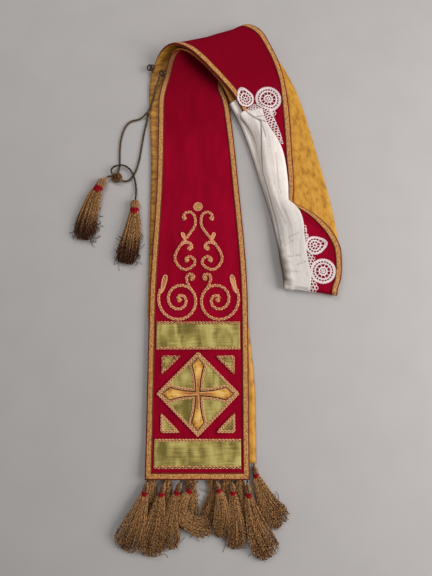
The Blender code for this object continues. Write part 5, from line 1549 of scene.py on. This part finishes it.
def thread_finish(colours, thread):
    """Twisted thread: its plies turn light and dark, each thread differs, and its end may darken."""
    light, shade = (getattr(colours, code, None) or linear(code) for code in (thread.light, thread.shade))
    material, add, surface = new_finish(thread.name, thread.roughness, thread.gloss)
    place = add("TexCoord")
    speck = add("TexNoise", {"Vector": (place, "Object"), "Scale": per_mm(thread.speckle),
                             "Detail": 3.0, "Roughness": 0.65})
    own = add("NewGeometry")
    varied = add("Math", {0: (own, "Random Per Island"), 1: thread.apart, 2: speck}, operation="MULTIPLY_ADD")
    if thread.darker_end:
        uv = add("UVMap", uv_map="UVMap")
        parts = add("SeparateXYZ", {"Vector": uv})
        far = add("MapRange", {"Value": (parts, 0), "From Min": 0.5, "From Max": 0.95,
                               "To Max": -thread.darker_end})
        varied = add("Math", {0: varied, 1: far}, operation="ADD")
    tone = add("ValToRGB", {"Fac": varied}, stops=((thread.balance - thread.blur, shade),
                                                   (thread.balance + thread.blur, light)))
    raised = add("Bump", {"Height": speck, "Strength": 0.6, "Distance": 0.0004})
    surface({"Base Color": tone, "Normal": raised})
    return material


FINISHES = {
    "wool": wool_finish, "sateen": sateen_finish, "braid": braid_finish, "linen": linen_finish,
    "floor": floor_finish,
    "green": partial(silk_finish, name="corded_green_silk", tone="silk", streak_mm=17.0, roughness=0.45),
    "orphrey": partial(silk_finish, name="gold_silk_satin", tone="orphrey", streak_mm=9.0,
                       roughness=0.42, neck="E8A468"),
    **{key: partial(thread_finish, thread=thread) for key, thread in THREADS.items()},
}
_finishes = {}


def finish_of(name):
    """The material of that short name, made the first time that it is asked for."""
    if name not in _finishes:
        settings = bpy.context.scene.stole_colours
        keys = settings.__annotations__
        colours = namedtuple("Colours", keys)(*(tuple(getattr(settings, key)) for key in keys))
        _finishes[name] = FINISHES[name](colours)
    return _finishes[name]


# ---------------- operators

class StoleOperator:
    """What the operators share: their place in the interface and the stole's sizes in mm."""
    bl_options = {"REGISTER", "UNDO"}

    @staticmethod
    def mm(context, name):
        """A length setting in millimetres."""
        return getattr(context.scene.stole_sizes, name) / MM


class STOLE_OT_tie_cord(StoleOperator, bpy.types.Operator):
    """Twist the tie cord's strands, ring and loops, and tie its knot"""
    bl_idname = "stole.tie_cord"
    bl_label = "Tie Cord"

    def execute(self, context):
        threads_piece("rope_knot", knot_lines(), "knot", ["cord_knot"])
        for tag, row in LOOPS.items():
            threads_piece("rope_" + tag, loop_lines(*row), "loops", [tag])
        for tag, points in CORDS.items():
            route = smooth_route(points, 0.6)
            rope = threads_piece("rope_" + tag, rope_lines(route, CORD_DIAMETER), "cord",
                                 [tag])
        return {"FINISHED"}


class STOLE_OT_tassels(StoleOperator, bpy.types.Operator):
    """Make the tassels on the hems and on the tie cord"""
    bl_idname = "stole.tassels"
    bl_label = "Tassels"

    def execute(self, context):
        sizes = context.scene.stole_sizes
        radius = self.mm(context, "strand_radius")
        strings, strays = [], []
        for index, (name, row, size, heights) in enumerate(tassel_rows()):
            rng = random.Random(SEED + index)
            at = tassel_line(row, heights)
            on_cord = name in CORD_TASSELS
            count = sizes.cord_strands if on_cord else sizes.hem_strands
            strands = tassel_strands(rng, row, size, at, count, radius)
            threads_piece("strands_" + name, strands, "frayed" if on_cord else "strands",
                          [name])
            strays += stray_threads(rng, row, size, at, CORD_STRAYS if on_cord else HEM_STRAYS)
            string = at(np.linspace(0.0, (size.string + 2.5) / size.total, 24))[0]
            strings += rope_lines(string, CORD_DIAMETER * (0.95 if on_cord else 0.75), pitch=7.0)
            threads_piece("head_" + name, tassel_head(size, at), "heads")
            threads_piece("winding_" + name, tassel_binding(size, at), "binding", sides=1)
        threads_piece("tassel_strings", strings, "cord")
        threads_piece("stray_threads", strays, "stray")
        return {"FINISHED"}


class STOLE_OT_cloth(StoleOperator, bpy.types.Operator):
    """Make the wool and the sateen lining of both halves"""
    bl_idname = "stole.cloth"
    bl_label = "Wool and Lining"

    def execute(self, context):
        cell = self.mm(context, "cloth_cell")
        for half in "ab":
            points, uv = cloth_rows(half, cell, FACE_TOP)
            face = cloth_piece("wool_" + half, points, uv, "wool", "crimson_wool", "face_" + half,
                               FACE_TOP - SEAM_HALF)
            points, uv = cloth_rows(half, cell * LINING_CELL, -SEAM_HALF, LINING_INSET)
            lining = cloth_piece("sateen_" + half, points, uv, "sateen", "gold_sateen", "lining_" + half,
                                 -SEAM_HALF - LINING_BOTTOM)
            ground = ribbon(half)
        return {"FINISHED"}


class STOLE_OT_braid(StoleOperator, bpy.types.Operator):
    """Sew the gold braid round the edges and hems"""
    bl_idname = "stole.braid"
    bl_label = "Braid"

    def execute(self, context):
        crown = self.mm(context, "braid_crown")
        wall = GALLOON_TOP - GALLOON_LOW
        for half in "ab":
            for tag, side in (("inner", 1), ("outer", -1)):
                cloth_piece(f"braid_{tag}_{half}", *braid_edge(half, side, crown), "braid",
                            "gold_galloon", f"galloon_{tag}_{half}", wall)
            cloth_piece("braid_hem_" + half, *braid_hem(half, crown), "braid", "gold_galloon",
                        "galloon_hem_" + half, wall)
        return {"FINISHED"}


class STOLE_OT_applique(StoleOperator, bpy.types.Operator):
    """Apply the green silk, the cross and the couched cords round them"""
    bl_idname = "stole.applique"
    bl_label = "Applied Silk and Cross"

    def execute(self, context):
        height = self.mm(context, "pucker")
        ground = ribbon("a")
        patches = {}
        for tag, (low, high) in GREEN_BANDS.items():
            def band(p, q, low=low, high=high):
                along = low + (high - low) * q
                return along, BAND_MARGIN + (ground.width_at(along) - 2 * BAND_MARGIN) * p
            patches[tag] = (band, 62, 20)
        middle = panel_middle()

        def diamond(p, q):
            return (DIAMOND_ALONG + DIAMOND_HALF * (p + q - 1), middle + DIAMOND_HALF * (p - q))
        patches["diamond"] = (diamond, 44, 44)
        for along, across, up, side in corner_places():
            def corner(p, q, along=along, across=across, up=up, side=side):
                way = p if up * side > 0 else 1 - p
                return (along - up * CORNER_LEG * q, across - side * CORNER_LEG * way * (1 - q))
            level, edge = "upper" if up > 0 else "lower", "outer" if side > 0 else "inner"
            patches[f"corner_{level}_{edge}"] = (corner, 14, 14)
        for tag, (stations, columns, rows) in patches.items():
            mesh = silk_mesh("silk_" + tag, stations, columns, rows, height)
            if tag.startswith("corner"):
                mesh = join_meshes("silk_" + tag, [mesh], weld=0.01)
            finish_piece("silk_" + tag, mesh, "green", [tag], APPLIQUE_TOP - GALLOON_LOW)
        cross = join_meshes("silk_cross", cross_meshes(), weld=0.05)
        finish_piece("silk_cross", cross, "orphrey", ["cross"], wall=CROSS_TOP - APPLIQUE_TOP)
        radius = self.mm(context, "couching_radius")
        pitch = self.mm(context, "couching_pitch")
        lights, darks = [], []
        for outline, closed in (*silk_outlines(COUCHING_INSET), (cross_outline(CROSS_COUCHING), True)):
            lights += [couched(outline, closed, APPLIQUE_TOP + 0.2, radius, pitch, COUCHING_WAVE, start)
                       for start in (0.0, pi)]
            darks.append(couched(outline, closed, APPLIQUE_TOP - 0.6, 1.5, pitch, 0.0))
        edging = [couched(cross_outline(0.3), True, CROSS_TOP, 0.6, pitch, 0.0)]
        edging += [(line, STITCH_RADIUS, False) for line in cross_stitching()]
        threads_piece("cross_edging", edging, "edging")
        threads_piece("couching_silk", lights, "couching")
        threads_piece("couching_ground", darks, "outline")
        return {"FINISHED"}


class STOLE_OT_scrolls(StoleOperator, bpy.types.Operator):
    """Embroider the dot and the mirrored scrolls"""
    bl_idname = "stole.scrolls"
    bl_label = "Scroll Embroidery"

    def execute(self, context):
        radius = self.mm(context, "couching_radius")
        pitch = self.mm(context, "couching_pitch")
        for mirror, tag in ((1, "inner"), (-1, "outer")):
            for level, line, branch, bud in (
                    ("upper", arc_chain(*UPPER_SCROLL), arc_chain(*UPPER_BRANCH), UPPER_BUD),
                    ("lower", spiral_line(*LOWER_SPIRAL), arc_chain(*LOWER_BRANCH), LOWER_BUD)):
                leaf = on_scrolls(leaf_outline(bud), mirror)
                lights = [couched(leaf, False, GALLOON_LOW + 0.3, radius * 0.95, pitch * 0.6, 0.25,
                                  pinch=0.25)]
                darks = []
                for points in (line, branch):
                    spots = on_scrolls(points, mirror)
                    lights += [couched(spots, False, GALLOON_LOW + 0.1, radius * 1.15, pitch * 0.8,
                                       1.35, start, 0.25) for start in (0.0, pi)]
                    darks.append(couched(spots, False, GALLOON_LOW - 0.5, 1.6, pitch, 0.0))
                name = f"scroll_{level}_{tag}"
                threads_piece("couched_" + name, lights, "scrollwork", [name])
                threads_piece("ground_" + name, darks, "scroll_ground")
        bm = bmesh.new()
        for mirror in (1, -1):
            for bud in (UPPER_BUD, LOWER_BUD):
                x, y = turned(bud.length / 2, 0.0, bud.heading, bud.x, bud.y)
                mound(bm, x, y, bud.length * 0.9, bud.width * 0.9, bud.heading, mirror, 1.2)
            curls = [arc_chain(*UPPER_SCROLL)[:6]]
            curls += [arc_chain(*row)[-6:] for row in (UPPER_SCROLL, UPPER_BRANCH, LOWER_BRANCH)]
            middles = [(curl[0] + curl[-1]) / 2 for curl in curls] + [LOWER_SPIRAL[:2]]
            for x, y in middles:
                mound(bm, x, y, VOLUTE_WIDTH, VOLUTE_WIDTH, 0, mirror, 1.3)
        mound(bm, 0.0, 0.0, 2 * DOT_RADIUS - 2, 2 * DOT_RADIUS - 2, 0, 1, 1.2)
        bmesh.ops.recalc_face_normals(bm, faces=bm.faces)
        mesh = bpy.data.meshes.new("satin_fillings")
        bm.to_mesh(mesh)
        bm.free()
        finish_piece("satin_fillings", mesh, "olive", ["embroidery_dot"])
        middle = float(ribbon("a").width_at(SCROLL_ALONG)) / 2
        t = ring_angles(59)
        ring = np.stack([SCROLL_ALONG + (DOT_RADIUS - 0.7) * np.sin(t),
                         middle + (DOT_RADIUS - 0.7) * np.cos(t)], axis=-1)
        rings = [couched(ring, True, GALLOON_LOW, radius * 0.8, pitch * 0.5, 0.1)]
        threads_piece("couched_dot", rings, "scrollwork")
        return {"FINISHED"}


class STOLE_OT_linen(StoleOperator, bpy.types.Operator):
    """Fold the linen protector over the neck edge"""
    bl_idname = "stole.linen"
    bl_label = "Linen Protector"

    def execute(self, context):
        mesh = linen_mesh()
        linen = finish_piece("linen_strip", mesh, "linen", ["linen_protector"],
                             wall=LINEN_THICKNESS)
        start, end = linen_ends()
        width = LINEN_FACE_WIDTH + ribbon("a").widths.mean() * LINEN_LINING_SHARE
        return {"FINISHED"}


class STOLE_OT_lace(StoleOperator, bpy.types.Operator):
    """Make the lace edging that shows beyond the linen"""
    bl_idname = "stole.lace"
    bl_label = "Lace Edging"

    def execute(self, context):
        thread = self.mm(context, "lace_thread")
        ground = ribbon("b")
        along = np.linspace(ground.first, ground.stops[LACE_SECTIONS_B - 1], 200)[:, None]
        width = ground.width_at(along)
        across = width * np.linspace(0.0, 1.0, 71)
        off = np.where(across < GALLOON_WIDTH, GALLOON_TOP + 0.2, FACE_TOP)
        points = ground.place(along, across, off)
        covered = (across < linen_share(along) * width - 1.2) & (along < linen_ends()[1] - 1)
        rows, columns = points.shape[:2]
        corners = [i * columns + j for i in range(rows - 1) for j in range(columns - 1)]
        quads = [(k, k + 1, k + columns + 1, k + columns) for k in corners]
        hidden = covered.ravel()[corners]
        tree = BVHTree.FromPolygons(points.reshape(-1, 3).tolist(), quads)

        def laid(line, factor):
            """The runs of a plan line that lie on the cloth beyond the linen."""
            runs, run = [], []
            for x, y in [*line, (1e4, 1e4)]:
                hit, _, face, _ = tree.ray_cast(Vector((x, y, 100)), Vector((0, 0, -1)))
                if hit and not hidden[face]:
                    run.append((x, y, hit.z + 0.5 + thread))
                elif run:
                    if len(run) > 2:
                        runs.append((np.array(run), thread * factor, False))
                    run = []
            return runs

        turn = ring_angles(10)
        for name, wheels in LACE_WHEELS.items():
            lines = []
            for wheel in wheels:
                for line, factor in wheel_lace(wheel):
                    lines += laid(line, factor)
            for down, aside in net_rings(name):
                ring = ground.place(down + NET_RING * np.sin(turn), aside + NET_RING * np.cos(turn),
                                    FACE_TOP + 1.0)
                middle = ring.mean(axis=0)
                if all(hypot(middle[0] - w.x, middle[1] - w.y) > w.radius + 1.5 for w in wheels):
                    lines.append((ring, thread * 1.15, True))
            threads_piece("threads_" + name, lines, "lace", [name])
        return {"FINISHED"}


class STOLE_OT_stage(StoleOperator, bpy.types.Operator):
    """Set the camera, the table and soft studio light"""
    bl_idname = "stole.stage"
    bl_label = "Stage"

    def execute(self, context):
        scene = context.scene
        lens = bpy.data.cameras.new("stole_camera")
        lens.lens = CAMERA.lens
        lens.sensor_width = CAMERA.sensor
        camera = bpy.data.objects.new("stole_camera", lens)
        camera.location = (CAMERA.x, CAMERA.y, CAMERA.z)
        camera.rotation_euler = (radians(CAMERA.tilt), 0.0, 0.0)
        scene.collection.objects.link(camera)
        scene.camera = camera
        bm = bmesh.new()
        bmesh.ops.create_grid(bm, x_segments=2, y_segments=2, size=2.5)
        mesh = bpy.data.meshes.new("table")
        bm.to_mesh(mesh)
        bm.free()
        mesh.materials.append(finish_of("floor"))
        table = bpy.data.objects.new("table", mesh)
        scene.collection.objects.link(table)
        for row in LAMPS:
            light = bpy.data.lights.new(row.name, "AREA")
            light.energy = row.watts
            light.size = row.size
            lamp = bpy.data.objects.new(row.name, light)
            lamp.location = row.place
            lamp.rotation_euler = (-Vector(row.place)).to_track_quat("-Z", "Y").to_euler()
            scene.collection.objects.link(lamp)
        world = bpy.data.worlds.new("studio")
        world.use_nodes = True
        background = world.node_tree.nodes["Background"]
        background.inputs["Color"].default_value = grey(1.0)
        background.inputs["Strength"].default_value = STUDIO_LIGHT
        scene.world = world
        scene.view_settings.view_transform = "Standard"
        return {"FINISHED"}


class STOLE_PT_panel(bpy.types.Panel):
    """The stole's settings and its pieces"""
    bl_idname = "STOLE_PT_panel"
    bl_label = "Clerical Stole"
    bl_space_type = "VIEW_3D"
    bl_region_type = "UI"
    bl_category = "Stole"

    def draw(self, context):
        layout = self.layout
        for title, settings in (("Sizes", context.scene.stole_sizes),
                                ("Colours", context.scene.stole_colours)):
            box = layout.box()
            box.label(text=title)
            for key in settings.__annotations__:
                box.prop(settings, key)
        for operator in OPERATORS:
            layout.operator(operator.bl_idname)


OPERATORS = (STOLE_OT_stage, STOLE_OT_tassels, STOLE_OT_tie_cord, STOLE_OT_cloth, STOLE_OT_braid,
             STOLE_OT_applique, STOLE_OT_scrolls, STOLE_OT_linen, STOLE_OT_lace)
CLASSES = (StoleSizes, StoleColours, *OPERATORS, STOLE_PT_panel)


def register():
    """Register the classes and their settings."""
    for cls in CLASSES:
        bpy.utils.register_class(cls)
    bpy.types.Scene.stole_sizes = PointerProperty(type=StoleSizes)
    bpy.types.Scene.stole_colours = PointerProperty(type=StoleColours)


def unregister():
    """Remove the settings and the classes."""
    del bpy.types.Scene.stole_colours
    del bpy.types.Scene.stole_sizes
    for cls in reversed(CLASSES):
        bpy.utils.unregister_class(cls)


def main():
    """Make every piece in order."""
    register()
    bpy.ops.stole.stage()
    bpy.ops.stole.tassels()
    bpy.ops.stole.tie_cord()
    bpy.ops.stole.cloth()
    bpy.ops.stole.braid()
    bpy.ops.stole.applique()
    bpy.ops.stole.scrolls()
    bpy.ops.stole.linen()
    bpy.ops.stole.lace()


if __name__ == "__main__":
    main()
